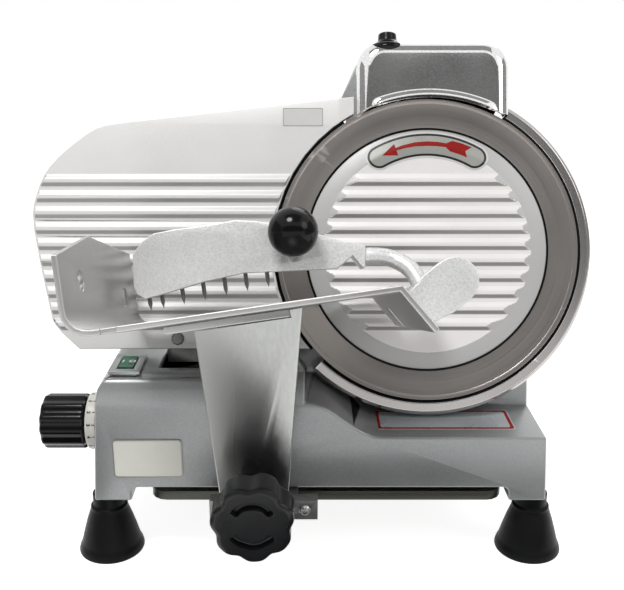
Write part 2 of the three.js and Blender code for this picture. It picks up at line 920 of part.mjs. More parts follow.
function guardRing() {
  const webBack = housingFront - fit;
  const webFront = webBack - ringWebThickness;
  const profile = [
    [ringInnerRadius, ringFront], [ringOuterRadius - ringRound, ringFront],
    [ringOuterRadius, ringFront + ringRound], [ringOuterRadius, webBack], [ringWebInner, webBack],
    [ringWebInner, webFront], [ringInnerRadius, webFront], [ringInnerRadius, ringFront],
  ];
  const far = 2 * ringOuterRadius;
  const open = [[0, 0], ...arc(0, 0, far, ringEndAngle, ringStartAngle + 360, 6)];
  const ring = cut(turnY(profile, fineSides), slabY(open, -overrun, webBack + overrun));
  return piece('guard_ring', ring, polishedAluminium);
}

// Ribs in relief, from x0 to x1, standing in front of the face
function ribs(x0, x1, face) {
  const bars = Array.from({ length: ribCount }, (_, i) => {
    const u = ribFirst - i * ribPitch;
    const outline = [
      [face + overrun / 2, u - ribBase / 2], [face, u - ribBase / 2],
      [face - ribHeight, u - ribCrest / 2], [face - ribHeight, u + ribCrest / 2],
      [face, u + ribBase / 2], [face + overrun / 2, u + ribBase / 2],
    ];
    return slabX(outline, x0, x1);
  });
  return join(...bars);
}

function bladeCover() {
  const back = coverFace + coverThickness;
  const profile = [
    [0, coverFace], [coverFlatRadius, coverFace], [coverRadius, coverRimFace],
    [coverRadius, coverRimFace + coverThickness / 3], [coverFlatRadius, back + fit],
    [coverBossRadius, back], [coverBossRadius, coverBossBack], [0, coverBossBack],
  ];
  const disc = turnY(profile, fineSides);
  const scallop = turnY([
    [0, coverFace - ribHeight], [coverFlatRadius - ribSlope, coverFace - ribHeight],
    [coverFlatRadius, coverFace + overrun / 4], [0, coverFace + overrun / 4],
  ], fineSides);
  const relief = common(ribs(-coverRadius, coverRadius, coverFace), scallop);
  const threadHole = barY(tieRodRadius + fit, coverBossBack - tieRodDepth, coverBossBack + overrun, 0, 0);
  return piece('blade_cover', cut(join(disc, relief), threadHole), castAluminium);
}

function coverTieRod() {
  const rod = barY(tieRodRadius, coverBossBack - tieRodDepth + fit, tieRodBack, 0, 0);
  return piece('cover_tie_rod', rod, brightSteel);
}

function coverKnob() {
  const front = columnBack + fit + beltCoverThickness + fit;
  const back = front + coverKnobLength;
  const bore = tieRodRadius + fit;
  const boreEnd = tieRodBack + fit;
  const profile = [
    [bore, front], [coverKnobHub, front], [coverKnobRadius, front + coverKnobLength * 0.3],
    [coverKnobRadius, back - coverKnobEdge], [coverKnobRadius - coverKnobEdge, back], [0, back],
    [0, boreEnd],
    [bore, boreEnd], [bore, front],
  ];
  return piece('cover_knob', turnY(profile), blackPlastic);
}

// The rear cover closes the column behind the belt
function beltCover() {
  const front = columnBack + fit;
  const plate = slabY(columnOutline(0), front, front + beltCoverThickness);
  const rim = slabY(columnOutline(columnWall + fit), front - beltCoverThickness, front + overrun / 4);
  const rimInside = slabY(columnOutline(columnWall * 2), front - overrun * 2, front);
  const hole = barY(tieRodRadius + runGap, 0, front * 2, 0, 0);
  const below = intoBlade(block(-baseWidth, baseWidth, 0, baseDepth * 2, -baseHeight, baseHeight + fit));
  return piece('belt_cover', cut(join(plate, cut(rim, rimInside)), hole, below), greyPaint);
}

function intoBlade(geometry) {
  return geometry.applyMatrix4(bladeFrame.clone().invert());
}

// Belt, motor and its bracket

function hullOfPulleys(grow) {
  const upper = bladePulleyRadius + grow;
  const lower = motorPulleyRadius + grow;
  const wrap = THREE.MathUtils.radToDeg(Math.asin((upper - lower) / motorDrop));
  return [
    ...arc(0, 0, upper, -wrap, 180 + wrap, 28),
    ...arc(0, -motorDrop, lower, 180 + wrap, 360 - wrap, 12),
  ];
}

function driveBelt() {
  const y0 = pulleyFront + pulleyFlange + fit;
  const y1 = pulleyFront + pulleyWidth - pulleyFlange - fit;
  const loop = cut(slabY(hullOfPulleys(beltThickness), y0, y1),
    slabY(hullOfPulleys(fit), y0 - overrun, y1 + overrun));
  return piece('drive_belt', loop, blackRubber);
}

function motor() {
  const back = motorFront + motorLength;
  const profile = [
    [rotorRadius + runGap, motorFront], [motorNoseRadius, motorFront],
    [motorRadius * 0.9, motorFront], [motorRadius, motorFront + motorFrontEdge],
    [motorRadius, back - motorBackEdge],
    [motorRadius * 0.85, back], [rotorRadius + runGap, back], [rotorRadius + runGap, motorFront],
  ];
  const fins = arc(0, 0, motorRadius, 0, 330, 11).map(([x, z]) =>
    barY(finDepth, motorFront + motorNose, back - motorNose, x, z, 4));
  return piece('motor', cut(turnY(profile), ...fins).translate(0, 0, -motorDrop), castAluminium);
}

// The rotor shaft with its pulley pressed on
function motorRotor() {
  const wheel = turnY(pulleyProfile(rotorRadius * 0.8, motorPulleyRadius));
  const shaft = barY(rotorRadius, pulleyFront, motorFront + motorLength + fit, 0, 0);
  return piece('motor_rotor', join(wheel, shaft).translate(0, 0, -motorDrop), brightSteel);
}

function motorBracket() {
  const back = motorFront - 2 * fit;
  const outline = roundedBox(-bracketHalfWidth, bracketHalfWidth, bracketBottom + motorRadius / 2,
    bracketTop, bracketCorner);
  const plate = cut(slabY(outline, back - bracketThickness, back),
    barY(rotorRadius * 2.2, 0, back * 2, 0, -motorDrop));
  return piece('motor_bracket', plate, brightSteel);
}

function capacitor() {
  const z = trayBottom + traySheet + fit + capacitorRadius;
  const half = capacitorLength / 2;
  const profile = [
    [0, -half], [capacitorRadius, -half], [capacitorRadius, half - capacitorStep],
    [capacitorRadius - capacitorStep, half], [capacitorRadius / 2, half],
    [capacitorRadius / 2, half + capacitorStep], [0, half + capacitorStep],
  ];
  return piece('capacitor', turnX(profile).translate(capacitorX, capacitorY, z), whitePlastic);
}

// Gauge plate and its slide

function gaugeOutline(inset) {
  const bottom = gaugeBottom + inset;
  const edge = new THREE.SplineCurve(gaugeEdgeShares.map(([across, up]) => new THREE.Vector2(
    THREE.MathUtils.lerp(gaugeLeft + inset, gaugeTopLeft, across),
    THREE.MathUtils.lerp(bottom, gaugeTopLeftHeight - inset, up))));
  return [
    [-inset, bottom], ...edge.getPoints(gaugeEdgeSteps).map(({ x, y }) => [x, y]),
    [gaugeTopRight - inset, gaugeTopRightHeight - inset], [gaugeTopRight - inset, gaugeShoulder],
    [-inset, gaugeShoulder],
  ];
}

function gaugePlate() {
  const back = gaugeFace + gaugeThickness;
  const front = gaugeFace - ribHeight - overrun;
  const gap = bladeDiameter / 2 + gaugeBladeGap;
  const aroundBlade = barY(gap, front - overrun, back + overrun, 0, 0, fineSides);
  const aroundRibs = barY(gap + gaugeRibInset, front - overrun, back + overrun, 0, 0, fineSides);
  const body = cut(slabY(gaugeOutline(0), gaugeFace, back), aroundBlade);
  const relief = common(ribs(gaugeLeft, 0, gaugeFace),
    cut(slabY(gaugeOutline(gaugeRibInset), front, back), aroundRibs));
  const pocketEdge = barY(gap + gaugePocketInset, 0, back + 2 * overrun, 0, 0, fineSides);
  const pocket = cut(
    slabY(gaugeOutline(gaugePocketInset), back - gaugePocketDepth, back + overrun), pocketEdge,
    block(toBladeX(slideBarLeft - gaugePadRim), toBladeX(slideBarRight + gaugePadRim), 0, back + overrun,
      gaugeBottom, slideBarTop + gaugePadRim));
  const holes = gaugeScrewPlaces().map(([x, z]) =>
    barY(gaugeShankRadius + fit, front, back + overrun, x, z, coarseSides));
  return piece('gauge_plate', cut(join(body, relief), pocket, ...holes), castAluminium);
}

function gaugeScrewPlaces() {
  const z = slideBarTop - gaugeScrewRise / 2;
  return [[gaugeScrewX, z], [gaugeScrewX + gaugeScrewPitch, z]];
}

function gaugeScrews() {
  return gaugeScrewPlaces().map(([x, z], i) => {
    const seat = gaugeFace - fit;
    const end = gaugeFace + gaugeThickness + fit + slideBarDepth;
    const profile = [
      [0, seat - gaugeScrewHead], [gaugeScrewRadius * 0.8, seat - gaugeScrewHead],
      [gaugeScrewRadius, seat], [gaugeShankRadius, seat], [gaugeShankRadius, end], [0, end],
    ];
    return piece(`gauge_screw_${i + 1}`, turnY(profile, coarseSides).translate(x, 0, z), brightSteel);
  });
}

function gaugeSlide() {
  const front = gaugeFace + gaugeThickness + fit;
  const [left, right] = [toBladeX(slideLeft), toBladeX(slideRight)];
  const blockBack = slideBlockFront + slideBlockDepth;
  const bar = block(toBladeX(slideBarLeft), toBladeX(slideBarRight), front, front + slideBarDepth,
    slideBarBottom, slideBarTop);
  const web = block(left, right, front, blockBack, slideBlockTop - slideBarDepth, slideBlockTop);
  const body = block(left, right, slideBlockFront, blockBack, slideBlockBottom, slideBlockTop);
  const ear = block(left, left + earWidth, earFront, earBack, earBottom, slideBlockBottom + earOverlap);
  const bores = guideRodPlaces().map((x) =>
    barY(guideRodRadius + fit, 0, blockBack + overrun, x, guideRodHeight));
  const screwHoles = gaugeScrewPlaces().map(([x, z]) =>
    barY(gaugeShankRadius + fit, 0, blockBack, x, z, coarseSides));
  const follower = followerPlace();
  const pin = barX(followerRadius, toBladeX(camLeft - fit), left + followerReach / 2, follower.y,
    follower.z, coarseSides);
  const slide = join(cut(join(bar, web, body, ear), ...bores, ...screwHoles), pin);
  return piece('gauge_slide', slide, brightSteel);
}

const dialInBlade = () => toBlade(0, dialAxisY, dialAxisZ);

function followerPlace() {
  const dial = dialInBlade();
  return { y: dial.y + camStart + fit + followerRadius, z: dial.z };
}

function guideRods() {
  return guideRodPlaces().map((x, i) => piece(`gauge_guide_rod_${i + 1}`,
    barY(guideRodRadius, guideRodFront, rodLugFront + rodLugDepth, x, guideRodHeight), brightSteel));
}

// The spiral's radius grows by the gauge travel over the knob's turn
function spiralCam() {
  const steps = 48;
  const inward = -rad(bladeLean);
  const points = Array.from({ length: steps + 1 }, (_, i) => {
    const turned = (i / steps) * rad(camTurn);
    const radius = camStart + gaugeTravel * (i / steps);
    return [radius * Math.cos(inward - turned), radius * Math.sin(inward - turned)];
  });
  const lead = rad((360 - camTurn) / 3);
  points.unshift([camStart * Math.cos(inward + lead), camStart * Math.sin(inward + lead)]);
  const disc = slabX(points, camLeft, camLeft + camThickness);
  const bore = barX(thicknessShaftRadius + fit, camLeft - overrun, camLeft + camThickness + overrun, 0, 0);
  return piece('spiral_cam', cut(disc, bore).translate(0, dialAxisY, dialAxisZ), bronze);
}

const leftWallX = () => {
  const climb = (dialAxisZ - footHeight) / (creaseHeight - footHeight);
  return -baseWidth / 2 + sideDraft * climb - wallClear;
};

function thicknessDial() {
  const right = leftWallX();
  const left = right - dialWidth;
  const profile = [
    [thicknessShaftRadius + fit, left], [dialRadius, left], [dialRadius + dialRingStep, left + dialEdge],
    [dialRadius + dialRingStep, right], [thicknessShaftRadius + fit, right],
    [thicknessShaftRadius + fit, left],
  ];
  return piece('thickness_dial', turnX(profile).translate(0, dialAxisY, dialAxisZ), whitePlastic);
}

function thicknessKnob() {
  const right = leftWallX() - dialWidth - fit;
  const left = right - thicknessKnobLength;
  const profile = [
    [0, left], [thicknessKnobRadius - thicknessKnobEdge, left],
    [thicknessKnobRadius - thicknessKnobTaper, left + thicknessKnobEdge],
    [thicknessKnobRadius, right], [0, right],
  ];
  const flutes = arc(0, 0, thicknessKnobRadius + thicknessFluteDepth * 0.6, 0,
    360 - 360 / thicknessKnobFlutes, thicknessKnobFlutes - 1);
  const grooves = flutes.map(([y, z]) =>
    barX(thicknessFluteDepth * 1.4, left + thicknessFluteStart, right + overrun, y, z, coarseSides));
  const bore = barX(thicknessShaftRadius + fit, left + thicknessKnobLength / 3, right + overrun, 0, 0);
  const knob = cut(turnX(profile), ...grooves, bore);
  return piece('thickness_knob', knob.translate(0, dialAxisY, dialAxisZ), blackPlastic);
}

function thicknessShaft() {
  const right = leftWallX() - dialWidth - fit;
  const start = right - thicknessKnobLength * (2 / 3) + fit;
  const shaft = barX(thicknessShaftRadius, start, thicknessShaftEnd, dialAxisY, dialAxisZ);
  return piece('thickness_shaft', shaft, brightSteel);
}

// Carriage

function carriageRail() {
  const rail = barX(railRadius, -railHalfLength, railHalfLength, railY, railZ);
  return piece('carriage_rail', rail, brightSteel);
}

function guideBar() {
  const half = guideLugInner - fit;
  return piece('guide_bar', block(-half, half, guideBarY, guideBarY + guideBarDepth, guideBarBottom,
    guideBarBottom + guideBarHeight), brightSteel);
}

function carriageSlider() {
  const footBack = sliderFootFront + sliderFootThickness;
  const sleeve = barX(sliderRadius, sliderLeft, sliderRight, railY, railZ);
  const neck = block(neckLeft, neckRight, footBack - overrun, railY, neckBottom,
    neckBottom + neckThickness);
  const face = block(sliderFootLeft, sliderFootRight, sliderFootFront, footBack, sliderFootBottom,
    sliderFootTop);
  const tongue = slabY(roundedBox(tongueLeft, tongueRight, sliderFootBottom, tongueTop, skirtRadius),
    sliderFootFront, footBack);
  const tail = block(tailLeft, tailRight, railY, tailBack, neckBottom, neckBottom + tailThickness);
  const bore = railRadius + bushWall + fit;
  const relief = railRadius + runGap;
  const bushPockets = [
    barX(bore, sliderLeft - overrun, sliderLeft + bushLength + fit, railY, railZ),
    barX(bore, sliderRight - bushLength - fit, sliderRight + overrun, railY, railZ),
  ];
  const body = cut(join(sleeve, neck, face, tongue, tail),
    barX(relief, sliderLeft - overrun, sliderRight + overrun, railY, railZ), ...bushPockets,
    barY(lockStudRadius + fit, sliderFootFront - overrun, footBack + overrun, lockKnobX, lockKnobZ),
    barY(footScrewRadius / 2 + fit, sliderFootFront - overrun, sliderFootFront + sliderFootThickness / 2,
      footScrewX, footScrewZ, coarseSides));
  return piece('carriage_slider', body, castAluminium);
}

function carriageBushes() {
  const ring = (start) => turnX(tubeProfile(railRadius + fit, railRadius + bushWall, start,
    start + bushLength)).translate(0, railY, railZ);
  return [
    piece('carriage_bush_left', ring(sliderLeft), bronze),
    piece('carriage_bush_right', ring(sliderRight - bushLength), bronze),
  ];
}

function guidePad() {
  const middle = (tailLeft + tailRight) / 2;
  const bottom = neckBottom + tailThickness + fit;
  return piece('guide_pad', block(middle - guidePadLength / 2, middle + guidePadLength / 2, guideBarY,
    guideBarY + guidePadDepth, bottom, guideBarBottom - fit), whitePlastic);
}

function footScrew() {
  const seat = sliderFootFront - fit;
  const profile = [
    [0, seat - footScrewHead], [footScrewRadius * 0.7, seat - footScrewHead],
    [footScrewRadius, seat - footScrewEdge], [footScrewRadius, seat], [footScrewRadius / 2, seat],
    [footScrewRadius / 2, sliderFootFront + sliderFootThickness / 2 - fit],
    [0, sliderFootFront + sliderFootThickness / 2 - fit],
  ];
  const slot = block(-footScrewRadius, footScrewRadius, seat - footScrewHead - overrun,
    seat - footScrewHead / 2, -footScrewSlot / 2, footScrewSlot / 2);
  const screw = cut(turnY(profile, coarseSides), slot).translate(footScrewX, 0, footScrewZ);
  return piece('foot_screw', screw, brightSteel);
}

// The arm leans with its plate and stops under the table floor
function carriageArm() {
  const middle = (armBottomLeft + armBottomRight) / 2;
  const outline = (inset) => [
    [armBottomLeft + inset, armBottom + (inset ? armRim : 0)],
    [armBottomRight - inset, armBottom + (inset ? armRim : 0)],
    [armTopRight - inset, armBottom + armHeight], [armTopLeft + inset, armBottom + armHeight],
  ];
  const lean = (geometry) => geometry.translate(-middle, 0, -armBottom).rotateX(rad(armLean))
    .translate(middle, sliderFootFront - fit, armBottom);
  const plate = lean(slabY(outline(0), -armThickness, 0));
  const hollow = lean(slabY(outline(armRim), armSkin - armThickness, overrun));
  const seatPad = slabY(roundedBox(tongueLeft, tongueRight, armBottom, tongueTop, skirtRadius),
    sliderFootFront - fit - armThickness, sliderFootFront - fit);
  const flange = fromTable(block(tableWidth - armFlangeLeft, tableWidth - armFlangeRight, armFlangeFront,
    armFlangeBack, -tableSheet - fit - armFlangeThickness, -tableSheet - fit));
  const above = fromTable(block(-tableWidth, 2 * tableWidth, 2 * tableFront, -tableFront,
    -tableSheet - fit, tableWidth));
  const behind = block(-baseWidth, baseWidth, sliderFootFront - fit, baseDepth, 0, tongueTop + overrun);
  const arm = cut(join(cut(plate, hollow), seatPad, flange), above, behind,
    barY(lockStudRadius + fit, armFrontY * 2, sliderFootFront + overrun, lockKnobX, lockKnobZ));
  return piece('carriage_arm', arm, polishedAluminium);
}

// The arm's front face at a height, as it leans forward
function armFaceAt(z) {
  return sliderFootFront - fit - armThickness - (z - armBottom) * Math.tan(rad(armLean));
}

function lockKnob() {
  const hubFront = lockKnobFront + lockKnobDepth;
  const armFace = armFaceAt(lockKnobZ + lockKnobHubRadius) - fit;
  const outline = Array.from({ length: lockKnobLobes * 8 }, (_, i) => {
    const angle = (i / (lockKnobLobes * 8)) * 2 * Math.PI;
    const radius = lockKnobRadius - lockKnobLobeDepth * (1 - Math.cos(lockKnobLobes * angle));
    return [radius * Math.sin(angle), radius * Math.cos(angle)];
  });
  const dome = turnY([
    [0, lockKnobFront], [lockKnobRadius * 0.8, lockKnobFront],
    [lockKnobRadius, lockKnobFront + lockKnobEdge], [lockKnobRadius, hubFront - lockKnobEdge],
    [lockKnobRadius * 0.85, hubFront], [0, hubFront],
  ]);
  const head = common(slabY(outline, lockKnobFront - overrun, hubFront + overrun), dome);
  const hub = barY(lockKnobHubRadius, hubFront - overrun, armFace, 0, 0);
  const dish = barY(lockKnobRecessRadius, lockKnobFront - overrun,
    lockKnobFront + lockKnobRecessDepth, 0, 0);
  const stud = barY(lockStudRadius, hubFront, lockStudEnd, 0, 0);
  const knob = cut(join(head, hub, stud), dish).translate(lockKnobX, 0, lockKnobZ);
  return piece('carriage_lock_knob', knob, blackPlastic);
}

// Product table in its own frame: x across the floor, z square to it

function tableSection() {
  const wallTop = tableWallPeak + overrun;
  const slope = rad(tableFlangeAngle);
  const along = [Math.cos(slope), -Math.sin(slope)];
  const inner = [tableWidth - tableSheet * 0.6, -tableSheet];
  const tip = [tableWidth + tableFlange * along[0], tableFlange * along[1]];
  const tipInner = [tip[0] - tableSheet * Math.sin(slope), tip[1] - tableSheet * Math.cos(slope)];
  return [
    [0, wallTop], ...arc(tableBend, tableBend, tableBend, 180, 270, 5), [tableWidth, 0], tip, tipInner,
    inner, ...arc(tableBend, tableBend, tableBend + tableSheet, 270, 180, 5), [-tableSheet, wallTop],
  ];
}

function wallTopCut() {
  const top = tableWallPeak + 2 * overrun;
  const outline = [
    [tableFront - overrun, tableWallFront], [tableFront, tableWallFront],
    [tableWallPeakY, tableWallPeak], [tableBack, tableWallBack], [tableBack + overrun, tableWallBack],
    [tableBack + overrun, top], [tableFront - overrun, top],
  ];
  return slabX(outline, -tableSheet - overrun, overrun);
}

function flangeFrame(geometry) {
  return geometry.rotateY(rad(tableFlangeAngle)).translate(tableWidth, 0, 0);
}

function productTable() {
  const sheet = slabY(tableSection(), tableFront, tableBack);
  const slot = flangeFrame(block(tableFlange - flangeSlotLength, tableFlange + overrun,
    flangeSlotY - flangeSlotWidth / 2, flangeSlotY + flangeSlotWidth / 2, -tableSheet * 2, overrun));
  const wallHole = barX(wallHoleRadius, -tableSheet - overrun, overrun, wallHoleY, wallHoleHeight);
  const wallSlot = block(-tableSheet - overrun, overrun, wallSlotY - wallSlotWidth / 2,
    wallSlotY + wallSlotWidth / 2, wallSlotRise, wallSlotRise + wallSlotHeight);
  const notch = block(frontNotchX, frontNotchX + frontNotchWidth, tableFront - overrun,
    tableFront + frontNotchDepth, -tableSheet - overrun, overrun);
  const table = cut(sheet, wallTopCut(), wallHole, wallSlot, slot, notch);
  return piece('product_table', table, castAluminium);
}

// The rod's place as seen in the table frame
function rodInTable() {
  const inverse = tableFrame.clone().invert();
  return new THREE.Vector3(pusherRodX, 0, pusherRodU).applyMatrix4(inverse);
}

function rodBracket(name, front) {
  const back = front + rodLugLength;
  const rod = rodInTable();
  const ring = barY(rodLugRing, front, back, rod.x, rod.z);
  const half = rodLugFoot / 2;
  const foot = flangeFrame(block(tableFlange / 2 - half, tableFlange / 2 + half, front, back, fit,
    rodLugRing * 0.8));
  const lug = cut(join(ring, foot), barY(pusherRodRadius + fit, front - overrun, back + overrun,
    rod.x, rod.z), flangeFrame(block(-tableFlange, 2 * tableFlange, front - overrun, back + overrun,
    -tableWidth, fit)));
  return piece(name, lug, castAluminium);
}

// Pusher, in the blade frame

function pusherRod() {
  const rod = barY(pusherRodRadius, boreStart() + fit, pusherRodBack, pusherRodX, pusherRodU);
  return piece('pusher_rod', rod, brightSteel);
}

const bossBackY = () => bossFront + bossLength;
const boreStart = () => bossFront + tabThickness / 3;

function pusherBushing() {
  const ring = tubeProfile(pusherRodRadius + fit, bushingOuter, boreStart() + fit, bossBackY());
  return piece('pusher_bushing', turnY(ring).translate(pusherRodX, 0, pusherRodU), bronze);
}

// Outline of the casting as shares of its length and height, from its top left round to its foot
const gripTopShares = [
  [0, 0.57], [0.043, 0.73], [0.09, 0.83], [0.175, 0.88], [0.31, 0.93], [0.44, 1], [0.53, 0.99],
  [0.8, 0.82], [0.9, 0.74], [1, 0.68],
];
const gripBottomShares = [
  [1, 0.4], [0.85, 0.38], [0.65, 0.355], [0.48, 0.33], [0.31, 0.22], [0.13, 0.06], [0.055, 0],
  [0.02, 0.06], [0.005, 0.16],
];

function gripPoint([across, up], lower = 0) {
  return [
    THREE.MathUtils.lerp(gripLeft, gripRight, across),
    THREE.MathUtils.lerp(gripBottom, gripTop, up) - lower,
  ];
}

function gripOutline() {
  return [...gripTopShares, ...gripBottomShares].map((share) => gripPoint(share)).reverse();
}

function gripHollow() {
  const top = gripTopShares.slice(1, -1).map((share) => gripPoint(share, gripSkin));
  const bottom = gripBottomShares.slice(1, -1).map((share) => gripPoint(share, 2 * gripSkin + overrun));
  return [...top, ...bottom].reverse();
}

function bentArm() {
  const start = new THREE.Vector3(gripRight, gripFront + armPipeSetback, armPipeU);
  const end = new THREE.Vector3(pusherRodX, bossFront + bossLength / 2, pusherRodU);
  const way = armPipeShares.map(([across, back, down]) => new THREE.Vector3(
    THREE.MathUtils.lerp(start.x, end.x, across), THREE.MathUtils.lerp(start.y, end.y, back),
    THREE.MathUtils.lerp(start.z, end.z, down)));
  const path = new THREE.CatmullRomCurve3([start.clone().setX(start.x - armPipeOverlap), ...way, end]);
  const ring = arc(0, 0, armPipeRadius, 0, 330, 11).map(([a, b]) => new THREE.Vector2(a, b));
  return new THREE.ExtrudeGeometry(new THREE.Shape(ring), { steps: 14, extrudePath: path });
}

function thumbTab() {
  const half = tabWidth / 2;
  const root = pusherBossRadius - fit;
  const outline = [
    [0, -root], [half / 2, -half], ...arc(tabReach - half, 0, half, -90, 90, 8),
    [half / 2, half], [0, root],
  ];
  return slabY(outline, bossFront, bossFront + tabThickness)
    .rotateY(-rad(tabAngle)).translate(pusherRodX, 0, pusherRodU);
}

function pusherCasting() {
  const back = gripFront + gripDepth;
  const body = cut(slabY(gripOutline(), gripFront, back),
    slabY(gripHollow(), gripFront + gripSkin, back + overrun));
  const boss = barY(pusherBossRadius, bossFront, bossBackY(), pusherRodX, pusherRodU);
  const bore = barY(bushingOuter + fit, boreStart(), bossBackY() + overrun, pusherRodX, pusherRodU);
  const cap = collarPlace();
  const studHole = alongBall(turnY(barProfile(collarRadius / 2 + fit, -collarSink * 2, overrun)), cap);
  const flangeClear = fromTableToBlade(flangeFrame(block(-tableFlange, 2 * tableFlange, 2 * tableFront,
    -tableFront, -tableWidth, fit)));
  return piece('pusher', cut(join(body, bentArm(), boss, thumbTab()), bore, studHole, flangeClear),
    castAluminium);
}

const fromTableToBlade = (geometry) => geometry.applyMatrix4(tableFrame);

// The ball stands on the plate's face, tipped upwards
const collarPlace = () => new THREE.Vector3(ballX, gripFront, ballBaseU);

function alongBall(geometry, place) {
  return geometry.rotateX(Math.PI - rad(ballRise)).translate(place.x, place.y, place.z);
}

function ballCollar() {
  const clear = block(-ballRadius * 8, 0, gripFront, 0, -ballRadius * 4, ballRadius * 4);
  const profile = [
    [0, -collarSink], [collarRadius, -collarSink], [collarRadius, collarLength],
    [0, collarLength],
  ];
  const front = clear.translate(0, -fit, 0);
  return piece('ball_collar', cut(alongBall(turnY(profile), collarPlace()), front), brightSteel);
}

function ballKnob() {
  const start = collarLength + fit;
  const profile = [[0, start], [collarRadius, start]];
  const centre = start + Math.sqrt(ballRadius ** 2 - collarRadius ** 2);
  const from = -Math.acos(collarRadius / ballRadius);
  for (let i = 1; i <= 12; i += 1) {
    const angle = from + ((Math.PI / 2 - from) * i) / 12;
    profile.push([i === 12 ? 0 : ballRadius * Math.cos(angle), centre + ballRadius * Math.sin(angle)]);
  }
  return piece('ball_knob', alongBall(turnY(profile), collarPlace()), blackPlastic);
}

function spikeStrip() {
  const front = gripFront + gripSkin + fit;
  const back = front + spikeStripDepth;
  const first = spikePlace(0);
  const last = spikePlace(spikeCount - 1);
  const reach = spikeStripHeight;
  const outline = [
    [first.x - reach, first.z], [last.x + reach, last.z],
    [last.x + reach, last.z + reach], [first.x - reach, first.z + reach],
  ];
  const strip = slabY(outline, front, back);
  const spikes = Array.from({ length: spikeCount }, (_, i) => {
    const { x, z } = spikePlace(i);
    const profile = [
      [0, overrun / 2], [spikeRadius, overrun / 2], [spikeRadius, -spikeLength * 0.7], [0, -spikeLength],
    ];
    return turnZ(profile, 8).rotateY(-rad(tableRoll)).translate(x, (front + back) / 2, z);
  });
  return piece('spike_strip', join(strip, ...spikes), brightSteel);
}

function spikePlace(i) {
  const share = i / (spikeCount - 1);
  return {
    x: gripLeft + spikeInset + spikeSpread * share,
    z: THREE.MathUtils.lerp(spikeFirstU, spikeLastU, share),
  };
}

// Sharpener

function sharpenerOutline(inset) {
  const [left, right] = [sharpenerLeft + inset, sharpenerRight - inset];
  const corner = sharpenerCorner - inset;
  const top = sharpenerTop - inset;
  return [
    [right, sharpenerBottom - (inset ? overrun : 0)],
    ...arc(right - corner, top - corner, corner, 0, 90, 5),
    ...arc(left + corner, top - corner, corner, 90, 180, 5),
    [left, sharpenerBottom - (inset ? overrun : 0)],
  ];
}

function sharpenerHousing() {
  const shell = cut(slabY(sharpenerOutline(0), sharpenerFront, sharpenerBack),
    slabY(sharpenerOutline(sharpenerWall), sharpenerFront + sharpenerWall, sharpenerBack - sharpenerWall),
    barY(sharpenerArch, sharpenerFront - overrun, sharpenerFront + sharpenerWall + overrun, 0, 0, fineSides),
    barY(ringOuterRadius + recessGap, sharpenerFront + sharpenerWall, sharpenerBack + overrun, 0, 0,
      fineSides),
    barZ(postRadius + runGap, 0, sharpenerTop + overrun, postX, postY),
    ...[grindingX, deburrX].map((x) => barY(spindleRadius + runGap, 0, sharpenerBack + overrun, x,
      stoneHeight, coarseSides)));
  return piece('sharpener_housing', shell, polishedAluminium);
}

function sharpenerBracket() {
  const front = sharpenerBack + fit;
  const back = front + bracketPlateThickness;
  const outline = [
    [bracketPlateLeft, bracketPlateBottom], [bracketPlateRight, bracketPlateBottom],
    [bracketPlateRight, bracketPlateTop], [bracketPlateLeft + bracketPlateShoulder, bracketPlateTop],
    [bracketPlateLeft, bracketPlateShoulderU],
  ];
  const plate = slabY(outline, front, back);
  const armHalf = postRadius + bracketArmRim;
  const arm = block(postX - armHalf, postX + armHalf, postY - armHalf, back,
    postBottom - bracketArmDepth, postBottom + bracketArmRise);
  const armGap = barY(bladeDiameter / 2 + gaugeBladeGap * 2, 0, front - fit, 0, 0, fineSides);
  const slots = [grindingX, deburrX].map((x) => slabY(
    [...arc(x, stoneHeight, spindleRadius * 2, 180, 360, 8), [x + spindleRadius * 2, bracketPlateTop * 2],
      [x - spindleRadius * 2, bracketPlateTop * 2]], front - overrun, back + overrun));
  const column = intoBlade(intoWorld(slabY(columnOutline(-fit), housingFront, columnBack)));
  const postBore = barZ(postRadius + fit, postBottom - fit, postTop, postX, postY);
  return piece('sharpener_bracket', cut(join(plate, arm), armGap, ...slots, column, postBore), greyPaint);
}

function sharpenerPost() {
  return piece('sharpener_post', barZ(postRadius, postBottom, postTop, postX, postY), brightSteel);
}

function sharpenerKnob() {
  const bottom = sharpenerTop + fit;
  const bore = postRadius + fit;
  const profile = [
    [bore, bottom], [sharpenerKnobRadius, bottom], [sharpenerKnobRadius, bottom + sharpenerKnobRim],
    [sharpenerKnobStem + sharpenerKnobTaper, bottom + sharpenerKnobSkirt],
    [sharpenerKnobStem, bottom + sharpenerKnobHeight], [0, bottom + sharpenerKnobHeight],
    [0, postTop + fit], [bore, postTop + fit], [bore, bottom],
  ];
  return piece('sharpener_knob', turnZ(profile).translate(postX, postY, 0), blackPlastic);
}

function stone(name, x, front, width) {
  const ring = turnY(tubeProfile(spindleRadius + fit, stoneRadius, front, front + width));
  return piece(name, ring.translate(x, 0, stoneHeight), abrasive);
}

function spindle(name, x, front, width) {
  const back = sharpenerBack + fit + bracketPlateThickness + buttonStand;
  const rearCollar = front + width + fit;
  const profile = [
    [0, front - fit - spindleCollarLength], [spindleCollar, front - fit - spindleCollarLength],
    [spindleCollar, front - fit], [spindleRadius, front - fit], [spindleRadius, rearCollar],
    [spindleCollar, rearCollar], [spindleCollar, rearCollar + spindleCollarLength],
    [spindleRadius, rearCollar + spindleCollarLength], [spindleRadius, back], [buttonRadius, back],
    [buttonRadius, back + buttonLength - buttonEdge], [buttonRadius - buttonEdge, back + buttonLength],
    [0, back + buttonLength],
  ];
  return piece(name, turnY(profile, coarseSides).translate(x, 0, stoneHeight), brightSteel);
}

// Switch and inlet

